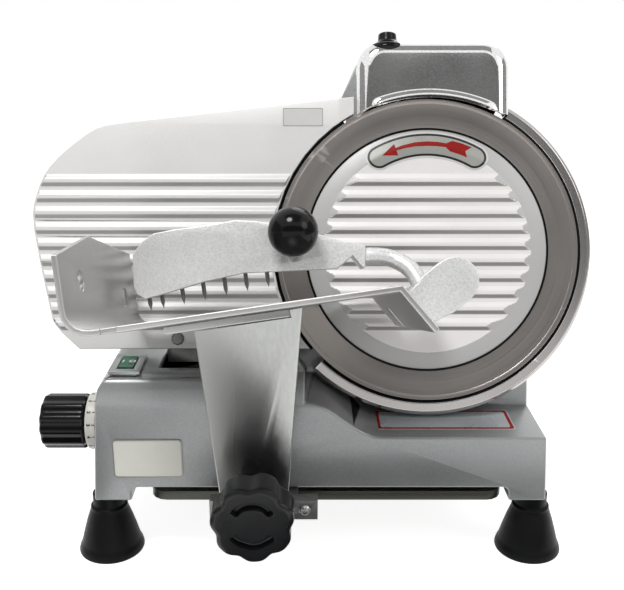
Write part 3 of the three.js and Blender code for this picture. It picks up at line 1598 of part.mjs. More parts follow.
function switchBezel() {
  const half = [switchWidth / 2, switchDepth / 2];
  const top = baseHeight + fit + switchRise;
  const rim = block(switchX - half[0] - switchRim, switchX + half[0] + switchRim,
    switchY - half[1] - switchRim, switchY + half[1] + switchRim, baseHeight + fit, top);
  const body = block(switchX - half[0] + fit, switchX + half[0] - fit, switchY - half[1] + fit,
    switchY + half[1] - fit, baseHeight - switchBody, baseHeight + fit + switchRise / 2);
  const well = block(switchX - half[0] + switchRim, switchX + half[0] - switchRim,
    switchY - half[1] + switchRim, switchY + half[1] - switchRim, baseHeight - switchBody / 3, top + overrun);
  return piece('switch_bezel', cut(join(rim, body), well), blackPlastic);
}

function rockerPlace() {
  return { y: switchY, z: baseHeight + fit + rockerPivot };
}

function switchRocker() {
  const halfX = switchWidth / 2 - switchRim - runGap;
  const halfY = switchDepth / 2 - switchRim - 2 * runGap;
  const { y, z } = rockerPlace();
  const outline = [
    [y - halfY, z - rockerPivot], [y + halfY, z - rockerPivot], [y + halfY, z + switchRise],
    [y, z + switchRise / 2], [y - halfY, z + switchRise],
  ];
  return piece('switch_rocker', slabX(outline, switchX - halfX, switchX + halfX), greenPlastic);
}

function cordInlet() {
  const out = baseDepth + fit;
  const profile = [
    [inletBore, baseDepth - baseWall - inletFlange], [inletRadius, baseDepth - baseWall - inletFlange],
    [inletRadius, out], [inletRadius + inletFlange, out], [inletRadius + inletFlange, out + inletFlange],
    [inletRadius - inletTaper, out + inletLength], [inletBore, out + inletLength],
    [inletBore, baseDepth - baseWall - inletFlange],
  ];
  return piece('cord_inlet', turnY(profile).translate(inletX, 0, inletZ), blackPlastic);
}

// The whole slicer
const base = assembly(
  baseCasting(), ...feet(), bottomTray(), capacitor(), switchBezel(), switchRocker(), cordInlet(),
  carriageRail(), guideBar(), thicknessDial(), thicknessKnob(), thicknessShaft(), spiralCam(),
  anchor('thickness_turn', leftWallX(), dialAxisY, dialAxisZ),
  anchor('rocker_tilt', switchX, rockerPlace().y, rockerPlace().z),
);

const bladeUnit = assembly(
  bladeDisc(), bladeShaft(), bladePulley(), bladeHousing(),
  bearing('blade_bearing_front', bearingFront), bearing('blade_bearing_rear', bearingFront + bearingSpacing),
  guardRing(), bladeCover(), coverTieRod(), coverKnob(), beltCover(), driveBelt(), motor(), motorRotor(),
  motorBracket(), gaugePlate(), ...gaugeScrews(), gaugeSlide(), ...guideRods(),
  sharpenerHousing(), sharpenerBracket(), sharpenerPost(), sharpenerKnob(),
  stone('grinding_stone', grindingX, grindingFront, grindingWidth),
  spindle('grinding_spindle', grindingX, grindingFront, grindingWidth),
  stone('deburring_stone', deburrX, deburrFront, deburrWidth),
  spindle('deburring_spindle', deburrX, deburrFront, deburrWidth),
  anchor('blade_spin', 0, 0, 0), anchor('motor_spin', 0, motorFront, -motorDrop),
  anchor('cover_knob_turn', 0, columnBack, 0), anchor('grinding_spin', grindingX, grindingFront, stoneHeight),
  anchor('deburring_spin', deburrX, deburrFront, stoneHeight),
  anchor('sharpener_knob_turn', postX, postY, sharpenerTop),
);
bladeUnit.applyMatrix4(bladeFrame);

const rolledTable = assembly(
  productTable(), rodBracket('rod_bracket', rodLugStart),
);
rolledTable.applyMatrix4(tableFrame);

const pusherUnit = assembly(
  pusherRod(), pusherBushing(), pusherCasting(), spikeStrip(), ballCollar(), ballKnob(),
  anchor('pusher_flip', pusherRodX, bossFront, pusherRodU),
);
const tableUnit = assembly(rolledTable, pusherUnit);
tableUnit.applyMatrix4(bladeFrame);

const carriage = assembly(
  tableUnit, carriageArm(), carriageSlider(), ...carriageBushes(), guidePad(), footScrew(), lockKnob(),
  anchor('lock_knob_turn', lockKnobX, lockKnobFront, lockKnobZ),
);

const slicer = assembly(base, bladeUnit, carriage);
slicer.name = 'slicer';

// The origin is under the middle of the whole slicer, on the bench
const bounds = new THREE.Box3().setFromObject(slicer, true);
const middle = bounds.getCenter(new THREE.Vector3());
slicer.position.set(-middle.x, -middle.y, -bounds.min.z);

export default slicer;
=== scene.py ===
import bpy, bmesh, json
from math import acos, atan2, cos, degrees, hypot, pi, radians, sin, sqrt
from mathutils import Matrix, Vector
from types import SimpleNamespace as fields

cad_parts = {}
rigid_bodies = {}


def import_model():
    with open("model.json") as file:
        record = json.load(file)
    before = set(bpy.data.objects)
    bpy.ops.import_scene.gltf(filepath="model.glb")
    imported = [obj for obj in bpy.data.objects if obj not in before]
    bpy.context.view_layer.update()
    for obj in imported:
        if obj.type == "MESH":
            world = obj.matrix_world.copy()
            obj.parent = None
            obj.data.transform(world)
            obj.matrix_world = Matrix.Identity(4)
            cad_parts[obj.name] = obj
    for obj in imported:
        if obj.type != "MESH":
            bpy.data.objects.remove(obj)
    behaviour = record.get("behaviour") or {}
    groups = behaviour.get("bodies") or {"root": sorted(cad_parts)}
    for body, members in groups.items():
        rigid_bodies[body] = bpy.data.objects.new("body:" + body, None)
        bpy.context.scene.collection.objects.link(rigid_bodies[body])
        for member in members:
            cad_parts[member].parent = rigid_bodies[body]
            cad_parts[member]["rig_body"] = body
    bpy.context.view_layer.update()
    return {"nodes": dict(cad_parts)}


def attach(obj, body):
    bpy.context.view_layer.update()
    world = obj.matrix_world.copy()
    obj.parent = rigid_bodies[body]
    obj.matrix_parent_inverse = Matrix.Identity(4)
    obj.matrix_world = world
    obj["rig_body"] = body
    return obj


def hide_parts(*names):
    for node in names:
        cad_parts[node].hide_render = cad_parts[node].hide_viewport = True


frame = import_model()

mm = 0.001
weld = {"copy": 2e-6, "lathe": 1e-7, "sheet": 1e-6}  # points nearer than this, in metres, become one
# Where the slicer's own frames stand: the base by its front middle, the blade by its axle
# (leaning back), the product table by its left bend (rolled to the left)
places = {
    "baseFront": (5.275, -55.73, 0.0),
    "bladeAxle": (83.475, 7.07, 218.3),
    "bladeLean": -18.3,
    "tableBend": (-208.202, 0.0, -55.897),
    "tableRoll": -8.2,
}


def shifted(x, y, z):
    return Matrix.Translation(Vector((x, y, z)) * mm)


def turned(angle, axis):
    return Matrix.Rotation(radians(angle), 4, axis)


baseFrame = shifted(*places["baseFront"])
bladeFrame = shifted(*places["bladeAxle"]) @ turned(places["bladeLean"], "X")
tableFrame = bladeFrame @ shifted(*places["tableBend"]) @ turned(places["tableRoll"], "Y")

# Camera, light and floor
studio = {
    "cameraPlace": (-0.005675, -0.60222, 0.374),
    "cameraDown": 17.4,  # degrees below level
    "lens": 49.615, "sensor": 36, "shiftX": 0.0112, "clip": (0.02, 50),
    "white": (1, 1, 1, 1), "floorColour": (0.9, 0.9, 0.9, 1),
    "floorWidth": 12, "worldLight": 0.3, "floorGlow": 0.85,
    "lamps": {  # place, size and power
        "key light": ((-0.35, -0.55, 1.55), 0.5, 12.5),
        "fill light": ((0.95, -0.5, 0.9), 0.6, 2.0),
        "rear light": ((0.35, 1.0, 1.1), 0.9, 3.5),
    },
    "greyCards": {  # middle, width, height, tilt, grey, and the axis of the tilt where it isn't X
        "card behind the camera": ((0.0, -1.25, 0.94), 3.0, 0.90, 108, 0.17),
        "card overhead": ((0.0, -0.5, 2.2), 2.2, 1.6, 0, 0.3),
        "card on the bench": ((0.136, -0.175, 0.003), 0.43, 0.17, 0, 0.05),
        "card on the bench left": ((-0.28, -0.195, 0.003), 0.24, 0.21, 0, 0.06),
        "card at the left": ((-1.4, -0.2, 0.6), 1.0, 1.6, 90, 0.3, "Y"),
        "card at the right": ((1.4, -0.2, 0.6), 1.0, 1.6, 90, 0.3, "Y"),
    },
    "lampAim": (0.0, 0.0, 0.18),
}


def linked(name, data):  # a new object in the scene
    obj = bpy.data.objects.new(name, data)
    bpy.context.scene.collection.objects.link(obj)
    return obj


def evaluated(host):  # the mesh that an object comes to, in place of the object
    mesh = bpy.data.meshes.new_from_object(host.evaluated_get(bpy.context.evaluated_depsgraph_get()))
    bpy.data.objects.remove(host)
    return mesh


def asMesh(bm, name="shape"):
    mesh = bpy.data.meshes.new(name)
    bm.to_mesh(mesh)
    bm.free()
    return mesh


def welded(bm, what):
    bmesh.ops.remove_doubles(bm, verts=bm.verts, dist=weld[what])


def makeCamera():
    data = bpy.data.cameras.new("camera")
    data.lens, data.sensor_width = studio["lens"], studio["sensor"]
    data.shift_x = studio["shiftX"]
    data.clip_start, data.clip_end = studio["clip"]
    cam = linked("camera", data)
    cam.location = studio["cameraPlace"]
    cam.rotation_euler = (radians(90 - studio["cameraDown"]), 0, 0)
    bpy.context.scene.camera = cam


def operation(how):
    return lambda *values: maths(how, *values)


class term:  # a node's output that formulas can be written with
    __add__, __sub__, __mul__ = operation("ADD"), operation("SUBTRACT"), operation("MULTIPLY")
    __truediv__, __pow__, __abs__ = operation("DIVIDE"), operation("POWER"), operation("ABSOLUTE")

    def __init__(self, socket):
        self.socket, self.tree = socket, socket.id_data

    def __rsub__(self, number):
        return maths("SUBTRACT", number, self)


def fill(socket, content):  # with a link or a plain value
    if isinstance(content, term):
        socket.id_data.links.new(content.socket, socket)
    else:
        socket.default_value = content


def addNode(tree, kind, inputs=None, **settings):
    node = tree.nodes.new(kind)
    for key, setting in settings.items():
        setattr(node, key, setting)
    for key, content in (inputs or {}).items():
        fill(node.inputs[key], content)
    return node


def result(tree, kind, inputs=None, output=0, **settings):
    return term(addNode(tree, kind, inputs, **settings).outputs[output])


def maths(how, *values):
    tree = [v.tree for v in values if isinstance(v, term)][0]
    return result(tree, "ShaderNodeMath", dict(enumerate(values)), operation=how)


def named(node):  # all outputs of a node, by name
    return {socket.name: term(socket) for socket in node.outputs}


def split(vector):
    return list(named(addNode(vector.tree, "ShaderNodeSeparateXYZ", {0: vector})).values())


def joined(tree, x=0.0, y=0.0, z=0.0):
    return result(tree, "ShaderNodeCombineXYZ", {"X": x, "Y": y, "Z": z})


def offAxis(where, keep):  # a vector without its part along an axis, and how long that leaves it
    flat = result(where.tree, "ShaderNodeVectorMath", {0: where, 1: keep}, operation="MULTIPLY")
    return flat, result(where.tree, "ShaderNodeVectorMath", {0: flat}, "Value", operation="LENGTH")


def showByRay(tree, kind, lighting, seen):  # the rays that see the studio find it plain white
    path = named(addNode(tree, "ShaderNodeLightPath"))
    look = maths("MAXIMUM", path["Is Camera Ray"], path["Is Glossy Ray"])
    share = maths("MAXIMUM", look, path["Is Transmission Ray"])
    addNode(tree, kind, {"Surface": result(tree, "ShaderNodeMixShader", {0: share, 1: lighting, 2: seen})})


def makeWorld():
    world = bpy.data.worlds.new("studio")
    bpy.context.scene.world = world
    world.use_nodes = True
    tree = world.node_tree
    tree.nodes.clear()
    light, white = [result(tree, "ShaderNodeBackground", {"Color": studio["white"], "Strength": strength})
                    for strength in (studio["worldLight"], 1.0)]
    showByRay(tree, "ShaderNodeOutputWorld", light, white)


def newSheet(name, wide, high, place, finish):  # a flat sheet and the empty tree of its material
    bm = bmesh.new()
    bmesh.ops.create_grid(bm, x_segments=1, y_segments=1, size=0.5)
    bmesh.ops.scale(bm, vec=(wide, high, 1), verts=bm.verts)
    bmesh.ops.transform(bm, matrix=place, verts=bm.verts)
    mat = bpy.data.materials.new(finish)
    mat.use_nodes = True
    mat.node_tree.nodes.clear()
    obj = linked(name, asMesh(bm, name))
    obj.data.materials.append(mat)
    return obj, mat.node_tree


def makeFloor():
    floor, tree = newSheet("floor", studio["floorWidth"], studio["floorWidth"], Matrix(), "pale floor")
    soft = result(tree, "ShaderNodeBsdfDiffuse", {"Color": studio["floorColour"]})
    lit = result(tree, "ShaderNodeEmission", {"Color": studio["white"], "Strength": studio["floorGlow"]})
    both = result(tree, "ShaderNodeAddShader", {0: soft, 1: lit})
    showByRay(tree, "ShaderNodeOutputMaterial", soft, both)


def makeCard(name, middle, wide, high, tilt, grey, axis="X"):
    # only gloss finds it, so that bare metal has something to show
    card, tree = newSheet(name, wide, high, Matrix.Translation(middle) @ turned(tilt, axis), name)
    card.visible_camera = card.visible_diffuse = card.visible_shadow = False
    glow = result(tree, "ShaderNodeEmission", {"Color": (grey, grey, grey, 1), "Strength": 1.0})
    addNode(tree, "ShaderNodeOutputMaterial", {"Surface": glow})


def makeLamp(name, place, size, power):
    data = bpy.data.lights.new(name, "AREA")
    data.shape, data.size, data.energy = "DISK", size, power
    lamp = linked(name, data)
    lamp.location = place
    lamp.rotation_euler = (Vector(studio["lampAim"]) - Vector(place)).to_track_quat("-Z", "Y").to_euler()


makeCamera()
makeWorld()
makeFloor()
for cardName, cardLook in studio["greyCards"].items():
    makeCard(cardName, *cardLook)
for lampName, lampLook in studio["lamps"].items():
    makeLamp(lampName, *lampLook)
bpy.context.scene.view_settings.view_transform = "Standard"
print("studio ready")


# Finishes
def newFinish(name, look):
    mat = bpy.data.materials.new(name)
    mat.use_nodes = True
    shader = mat.node_tree.nodes["Principled BSDF"]
    plain = {"Base Color": (*look["colour"], 1), "Roughness": look["roughness"], "Metallic": look["metallic"]}
    for socket, amount in {**plain, **look.get("plain", {})}.items():
        fill(shader.inputs[socket], amount)
    return mat, mat.node_tree, shader


def pointIn(tree, look):  # the surface point, seen from the blade's or the table's own frame if asked
    coords = result(tree, "ShaderNodeTexCoord", output="Object")
    if "seenFrom" not in look and "stretch" not in look:
        return coords
    spot = {"blade": bladeFrame, "table": tableFrame}.get(look.get("seenFrom"), Matrix())
    return result(tree, "ShaderNodeMapping", {
        "Vector": coords, "Location": spot.translation, "Rotation": spot.to_euler(),
        "Scale": look.get("stretch", (1, 1, 1))}, vector_type="TEXTURE")


def noiseOf(point, scale, detail=3.0, rough=0.5):
    return result(point.tree, "ShaderNodeTexNoise", {
        "Vector": point, "Scale": scale, "Detail": detail, "Roughness": rough})


def grainOf(point, look):
    return noiseOf(point, look["grainScale"], 2.0, 0.6)


def spread(source, low, high, fromLow=0.3, fromHigh=0.7, **settings):
    return result(source.tree, "ShaderNodeMapRange", {
        "Value": source, "From Min": fromLow, "From Max": fromHigh, "To Min": low, "To Max": high},
        **settings)


def blendColour(share, first, second):
    mixer = addNode(share.tree, "ShaderNodeMix", data_type="RGBA")
    fill([s for s in mixer.inputs if s.type == "VALUE"][0], share)
    for socket, colour in zip([s for s in mixer.inputs if s.type == "RGBA"], (first, second)):
        fill(socket, colour if isinstance(colour, term) else (*colour, 1))
    return term([s for s in mixer.outputs if s.type == "RGBA"][0])


def shaded(colour, factor):
    return tuple(min(1.0, c * factor) for c in colour)


def mottled(look, share, swing):
    return blendColour(share, shaded(look["colour"], 1 - swing), shaded(look["colour"], 1 + swing))


def toned(look, colour):
    if look.get("under"):  # painted shade: faces that look down are darkened
        upward = split(result(colour.tree, "ShaderNodeTexCoord", output="Normal"))[2]
        share = spread(upward, look["under"], 0, -0.15, 0.08)
        colour = blendColour(share, colour, shaded(look["colour"], 0.3))
    if look.get("turnedColour"):  # faces cut on the lathe, marked on the mesh, take a darker grey
        mark = result(colour.tree, "ShaderNodeAttribute", output="Fac", attribute_name="turned")
        colour = blendColour(spread(mark, 0, 1, 0.35, 0.65), colour, look["turnedColour"])
    if look.get("wear"):  # edges rub brighter
        share, tone = look["wear"]
        edges = result(colour.tree, "ShaderNodeNewGeometry", output="Pointiness")
        colour = blendColour(spread(edges, 0, share, 0.52, 0.62), colour, shaded(look["colour"], tone))
    return colour


def dress(shader, look, colour, sheen, height):  # colour, roughness as sheen runs from 0 to 1, and relief
    fill(shader.inputs["Base Color"], colour)
    low, high = look["roughness"] - look["roughSpread"], look["roughness"] + look["roughSpread"]
    fill(shader.inputs["Roughness"], spread(sheen, low, high, *look.get("sheenSpan", (0, 1))))
    bump = {"Height": height, "Distance": look["grainDepth"] * mm, "Strength": 1.0}
    fill(shader.inputs["Normal"], result(height.tree, "ShaderNodeBump", bump))


def castFinish(name, look):  # paint, castings and mouldings: cloudy colour over a fine grain
    mat, tree, shader = newFinish(name, look)
    point = pointIn(tree, look)
    cloud = spread(noiseOf(point, look["cloudScale"]), 0, 1)
    grain = grainOf(point, look)
    fleck = shaded(look["colour"], look["fleck"])
    flecked = blendColour(spread(grain, 0, 1, 0.38, 0.72), mottled(look, cloud, look["cloud"]), fleck)
    dress(shader, look, toned(look, flecked), cloud, grain)
    return mat


def turnedFinish(name, look):  # ground or turned in circles about the blade's axle
    mat, tree, shader = newFinish(name, look)
    point = pointIn(tree, {"seenFrom": "blade"})
    flat, radius = offAxis(point, (1, 0, 1))
    x, y, z = split(flat)
    grooves = joined(tree, radius, maths("ARCTAN2", z, x) * 0.0003)
    fine = noiseOf(grooves, look["ringScale"], 3.0, 0.7)
    cloud = spread(noiseOf(point, look["cloudScale"]), 0, 1)
    base = mottled(look, spread(fine, 0, 1), look["ringTone"])
    soiled = blendColour(cloud * look["cloud"], base, shaded(look["colour"], 0.6))
    dress(shader, look, toned(look, soiled), fine, fine + grainOf(point, look) * look["grainShare"])
    return mat


finishColumns = ("slot", "colour", "roughness", "metallic", "cloudScale", "cloud", "grainScale", "grainDepth",
                 "roughSpread", "fleck")
finishes = {
    "greyPaint": ("grey_paint", (0.31, 0.317, 0.32), 0.36, 0.4, 14, 0.05, 1300, 0.05, 0.06, 1.22),
    "satinAluminium": ("cast_aluminium", (0.84, 0.83, 0.82), 0.44, 0.1, 16, 0.03, 900, 0.04, 0.06, 1.03),
    "coverAluminium": ("cast_aluminium", (0.95, 0.925, 0.91), 0.42, 0.1, 16, 0.03, 900, 0.03, 0.06, 1.03),
    "castGrey": ("cast_aluminium", (0.17, 0.172, 0.165), 0.4, 0.6, 30, 0.12, 800, 0.06, 0.08, 1.3),
    "tableAluminium": ("cast_aluminium", (0.50, 0.495, 0.485), 0.36, 0.75, 12, 0.12, 800, 0.02, 0.08, 1.04),
    "sandCast": ("rough_aluminium", (0.97, 0.97, 0.96), 0.3, 0.25, 20, 0.08, 750, 0.2, 0.08, 0.76),
    "polished": ("polished_aluminium", (0.78, 0.77, 0.765), 0.06, 1.0, 30, 0.10, 900, 0.004, 0.02, 1.25),
    "armMetal": ("polished_aluminium", (0.37, 0.375, 0.365), 0.27, 0.95, 10, 0.14, 500, 0.015, 0.07, 1.04),
    "turnedSteel": ("bright_steel", (0.50, 0.505, 0.51), 0.24, 1.0, 80, 0.06, 1200, 0.02, 0.06, 1.06),
    "trayMetal": ("grey_paint", (0.06, 0.062, 0.052), 0.4, 0.4, 20, 0.1, 900, 0.02, 0.06, 1.2),
    "motorIron": ("motor_metal", (0.36, 0.37, 0.37), 0.5, 0.7, 40, 0.10, 500, 0.12, 0.08, 1.1),
    "blackPlastic": ("black_plastic", (0.004, 0.004, 0.0045), 0.16, 0, 40, 0.15, 700, 0.006, 0.05, 1.3),
    # real black rubber, and the black of the strips that paint shade in gaps
    "blackRubber": ("black_rubber", (0.0035, 0.0037, 0.004), 0.4, 0, 50, 0.25, 900, 0.04, 0.08, 1.6),
    "ivoryPlastic": ("white_plastic", (0.74, 0.72, 0.66), 0.4, 0, 40, 0.03, 900, 0.02, 0.05, 1.03),
    "greenPlastic": ("green_plastic", (0.008, 0.12, 0.065), 0.3, 0, 40, 0.05, 900, 0.02, 0.05, 1.05),
    "bronze": ("bronze", (0.50, 0.36, 0.19), 0.38, 1.0, 60, 0.08, 1200, 0.03, 0.06, 1.1),
    "abrasive": ("abrasive", (0.36, 0.35, 0.33), 0.9, 0, 80, 0.08, 900, 0.35, 0.05, 1.3),
    "knobSatin": ("black_plastic", (0.012, 0.0125, 0.014), 0.3, 0, 40, 0.15, 900, 0.012, 0.05, 1.3),
    "plateIvory": ("white_plastic", (0.93, 0.92, 0.83), 0.34, 0, 60, 0.03, 1400, 0.01, 0.05, 1.03),
    "labelWhite": ("white_plastic", (0.72, 0.71, 0.69), 0.3, 0, 50, 0.03, 900, 0.01, 0.05, 1.02),
    "labelBlue": ("white_plastic", (0.62, 0.65, 0.68), 0.3, 0.2, 50, 0.03, 900, 0.01, 0.05, 1.02),
    "labelGrey": ("white_plastic", (0.42, 0.42, 0.39), 0.32, 0.2, 60, 0.04, 1200, 0.01, 0.05, 1.05),
    "labelRed": ("white_plastic", (0.32, 0.012, 0.009), 0.45, 0, 60, 0.06, 900, 0.01, 0.05, 1.05),
    "labelBlack": ("black_plastic", (0.012, 0.012, 0.012), 0.32, 0, 60, 0.06, 900, 0.01, 0.05, 1.05),
}
finishExtras = {  # edge wear and its tone, share of the painted shade on faces that look down, the pattern's frame and stretch
    "greyPaint": {"wear": (0.6, 1.6), "plain": {"Coat Weight": 0.3, "Coat Roughness": 0.25}},
    "satinAluminium": {"wear": (0.5, 1.2), "under": 0.75},
    "coverAluminium": {"under": 0.95, "turnedColour": (0.56, 0.555, 0.55)},
    "castGrey": {"wear": (0.7, 2.0)},
    "tableAluminium": {"wear": (0.7, 1.5), "seenFrom": "table", "stretch": (1, 6, 1)},
    "sandCast": {"wear": (0.5, 1.05), "under": 0.4},
    "polished": {"wear": (0.5, 1.2)},
    "armMetal": {"wear": (0.8, 1.6), "stretch": (1, 1, 3)},
    "turnedSteel": {"wear": (0.5, 1.4)},
    "trayMetal": {"wear": (0.6, 3.0)},
    "blackPlastic": {"plain": {"Specular IOR Level": 0.22}},
    "blackRubber": {"plain": {"Specular IOR Level": 0.12}},
    "knobSatin": {"plain": {"Specular IOR Level": 0.35}},
    "labelRed": {"plain": {"Specular IOR Level": 0.2}},
}
groundColumns = ("slot", "colour", "roughness", "ringScale", "ringTone", "grainScale", "grainDepth", "wear")
groundShared = {"metallic": 1.0, "grainShare": 0.5, "cloudScale": 9, "cloud": 0.5, "roughSpread": 0.03,
                "sheenSpan": (0.3, 0.7)}
groundFinishes = {
    "groundSteel": ("ground_steel", (0.46, 0.425, 0.40), 0.3, 1500, 0.06, 1400, 0.008, (0.5, 2.2)),
    "ringMetal": ("polished_aluminium", (0.54, 0.52, 0.505), 0.24, 900, 0.04, 600, 0.006, (0.9, 2.2)),
}
made, slotOf = {}, {}
for finishName, row in finishes.items():
    look = dict(zip(finishColumns, row), **finishExtras.get(finishName, {}))
    made[finishName], slotOf[finishName] = castFinish(finishName, look), look["slot"]
for finishName, row in groundFinishes.items():
    look = dict(zip(groundColumns, row), **groundShared)
    made[finishName], slotOf[finishName] = turnedFinish(finishName, look), look["slot"]
print("finishes ready:", len(made))

# Finished copies of the CAD nodes
coverings = {
    "trayMetal": ["bottom_tray"],
    "greyPaint": ["base_casting", "blade_housing", "belt_cover", "sharpener_bracket", "switch_bezel"],
    "satinAluminium": ["gauge_plate", "rod_bracket", "blade_pulley"],
    "castGrey": ["carriage_slider", "gauge_screw_1", "gauge_screw_2", "gauge_slide"],
    "tableAluminium": ["product_table"],
    "armMetal": ["carriage_arm"],
    "sandCast": ["pusher"],
    "turnedSteel": [
        "blade_shaft", "blade_bearing_front", "blade_bearing_rear", "cover_tie_rod", "motor_rotor",
        "motor_bracket", "gauge_guide_rod_1", "gauge_guide_rod_2", "thickness_shaft", "carriage_rail",
        "guide_bar", "pusher_rod", "ball_collar", "sharpener_post", "grinding_spindle", "deburring_spindle",
        "foot_screw"],
    "motorIron": ["motor"],
    "blackPlastic": ["cover_knob", "cord_inlet"],
    "blackRubber": ["drive_belt"],
    "ivoryPlastic": ["thickness_dial", "capacitor", "guide_pad"],
    "greenPlastic": ["switch_rocker"],
    "bronze": ["spiral_cam", "carriage_bush_left", "carriage_bush_right", "pusher_bushing"],
    "abrasive": ["grinding_stone", "deburring_stone"],
}
softEdges = {
    "width": 0.4, "steps": 3, "cornerAngle": 28,
    "special": {"base_casting": 1.8, "product_table": 0.7, "carriage_arm": 0.9, "pusher": 0.7,
                "gauge_plate": 0.7, "bottom_tray": 0.6},
}


def addPiece(name, mesh, finish, node):  # a piece that moves with a CAD node, or stands with "root"
    body = "root" if node == "root" else frame["nodes"][node]["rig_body"]
    obj = linked(name, mesh)
    mesh.name = name
    mesh.materials.clear()
    mesh.materials.append(made[finish])
    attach(obj, body)
    return obj


def standIn(name, mesh, finish, node):  # a piece that takes the CAD node's place
    obj = addPiece(name, mesh, finish, node)
    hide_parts(node)
    return obj


def roundEdges(obj, width):
    bevel = obj.modifiers.new("soft edges", "BEVEL")
    bevel.width = width * mm
    bevel.segments, bevel.limit_method = softEdges["steps"], "ANGLE"
    bevel.angle_limit = radians(softEdges["cornerAngle"])
    bevel.harden_normals = True
    bevel.use_clamp_overlap = False


def finishedCopy(name, finish):  # the node's triangles, joined up and with flat areas made one face
    bm = bmesh.new()
    bm.from_mesh(frame["nodes"][name].data)
    welded(bm, "copy")
    bmesh.ops.dissolve_limit(bm, angle_limit=radians(1.0), verts=bm.verts, edges=bm.edges,
                             delimit={"NORMAL"})
    mesh = asMesh(bm)
    mesh.shade_smooth()
    copy = standIn(name + "_finished", mesh, finish, name)
    roundEdges(copy, softEdges["special"].get(name, softEdges["width"]))


for finishName, nodeNames in coverings.items():
    for nodeName in nodeNames:
        finishedCopy(nodeName, finishName)
print("finished copies:", sum(len(names) for names in coverings.values()))


# Shapes
def smoothed(mesh, angle):
    mesh.shade_smooth()
    mesh.set_sharp_from_angle(angle=radians(angle))
    return mesh


def toMesh(bm, place, smoothAngle=30):
    bmesh.ops.transform(bm, matrix=place, verts=bm.verts)
    bmesh.ops.recalc_face_normals(bm, faces=bm.faces)
    return smoothed(asMesh(bm), smoothAngle)


def skin(bm, rows, closed=False):  # faces between rows of like points
    for near, far in zip(rows, rows[1:]):
        for k in range(len(near) if closed else len(near) - 1):
            n = (k + 1) % len(near)
            bm.faces.new((near[k], near[n], far[n], far[k]))


def thicken(bm, thickness):  # a sheet, towards the front
    for part in bmesh.ops.extrude_face_region(bm, geom=bm.faces[:])["geom"]:
        if isinstance(part, bmesh.types.BMVert):
            part.co.y -= thickness * mm


def lathed(profile, sides, place, smoothAngle=30, sweep=None):
    # radius and place along Y, from axis to axis or a closed loop; sweep is a part of the turn in degrees
    bm = bmesh.new()
    start, end = (radians(a) for a in sweep or (0, 360))
    turns = [start + (end - start) * k / sides for k in range(sides + 1 if sweep else sides)]
    rings = []
    for radius, along in profile:
        rings.append([bm.verts.new((radius * mm * cos(a), along * mm, radius * mm * sin(a)))
                      for a in (turns if radius else turns[:1])])
    for near, far in zip(rings, rings[1:]):
        for k in range(sides):
            n = k + 1
            loop = near[k % len(near)], far[k % len(far)], far[n % len(far)], near[n % len(near)]
            bm.faces.new(list(dict.fromkeys(loop)))  # three corners where a ring is a point on the axis
    if sweep:
        for k in (0, -1):
            bm.faces.new([points[k] for points in rings[:-1]])
    welded(bm, "lathe")
    return toMesh(bm, place, smoothAngle)


def rounded(profile, radius, steps=4):  # a profile with its inner corners rounded off
    out = [profile[0]]
    for before, corner, after in zip(profile, profile[1:], profile[2:]):
        here = Vector(corner)
        back, on = Vector(before) - here, Vector(after) - here
        reach = min(radius, back.length * 0.45, on.length * 0.45)
        start, end = here + back.normalized() * reach, here + on.normalized() * reach
        for k in range(steps + 1):
            t = k / steps
            out.append(tuple((1 - t) ** 2 * start + 2 * t * (1 - t) * here + t ** 2 * end))
    return out + [profile[-1]]


def turnedPart(part, sides, place, smoothAngle, steps=4):
    profile = rounded(part["profile"], part["round"], steps)
    return lathed(profile, sides, place, smoothAngle, part.get("sweep"))


def flatPiece(name, outline, thickness, place, finish, node):
    # an outline of x and z in mm, its back on the face it lies on
    bm = bmesh.new()
    bm.faces.new([bm.verts.new((x * mm, 0, z * mm)) for x, z in outline])
    thicken(bm, thickness)
    return addPiece(name, toMesh(bm, place), finish, node)


def slab(name, outline, part, finish, node):  # square to the blade's axle, with soft edges
    place = bladeFrame @ shifted(0, part.back, 0)
    obj = flatPiece(name, outline, part.thickness, place, finish, node)
    roundEdges(obj, part.soft)
    return obj


def rimPiece(name, outer, inner, thickness, place, finish, node, fold=None):
    # a band between two like outlines; fold gives y for a point
    bm = bmesh.new()
    rise = fold or (lambda x, z: 0)
    loops = [[bm.verts.new((x * mm, (rise(x, z) - lift) * mm, z * mm)) for x, z in outline]
             for outline, lift in ((outer, 0), (outer, thickness), (inner, thickness), (inner, 0))]
    skin(bm, loops + loops[:1], closed=True)
    return addPiece(name, toMesh(bm, place), finish, node)


# Bare plates and labels: a face and a line round it, which lies between two insets from the plate's edge
plateColumns = ("left", "right", "bottom", "top", "corner", "cornerShrinks", "faceInset", "lineInsets",
                "thickness", "lineRise", "finishes", "place", "node")
plates = {
    ("name_plate_bare", "name_plate_rim"): (
        -147.0, -97.6, 66.5, 96.5, 3.0, 1, 1.0, (0, 1.0), 0.6, 0.25, ("plateIvory", "castGrey"),
        baseFrame, "root"),
    ("ledge_label_bare", "ledge_label_line"): (
        40.5, 140.5, 13.0, 45.5, 2.0, 0, 0, (0.9, 3.2), 0.25, 0.04, ("labelBlue", "labelRed"),
        baseFrame @ shifted(0, 0, 97.5) @ turned(-90, "X"), "root"),  # on the ledge, facing up
    ("gauge_sticker_bare", "gauge_sticker_line"): (
        -105.3, -76.0, 90.3, 103.5, 0.8, 0, 0, (0, 0.5), 0.15, 0.04, ("labelWhite", "labelGrey"),
        bladeFrame @ shifted(0, 1.2, 0), "gauge_plate"),
}
arrowLabel = {
    "middleU": 6.0, "inner": 60.6, "outer": 80.2, "halfAngle": 29.8, "thickness": 0.25, "lineInset": 1.5,
    "line": 1.6, "coverFace": -0.6, "flatRadius": 76.0, "rimSlope": 0.241, "fieldRise": 0.05, "lineRise": 0.1,
    "arrowRise": 0.14}
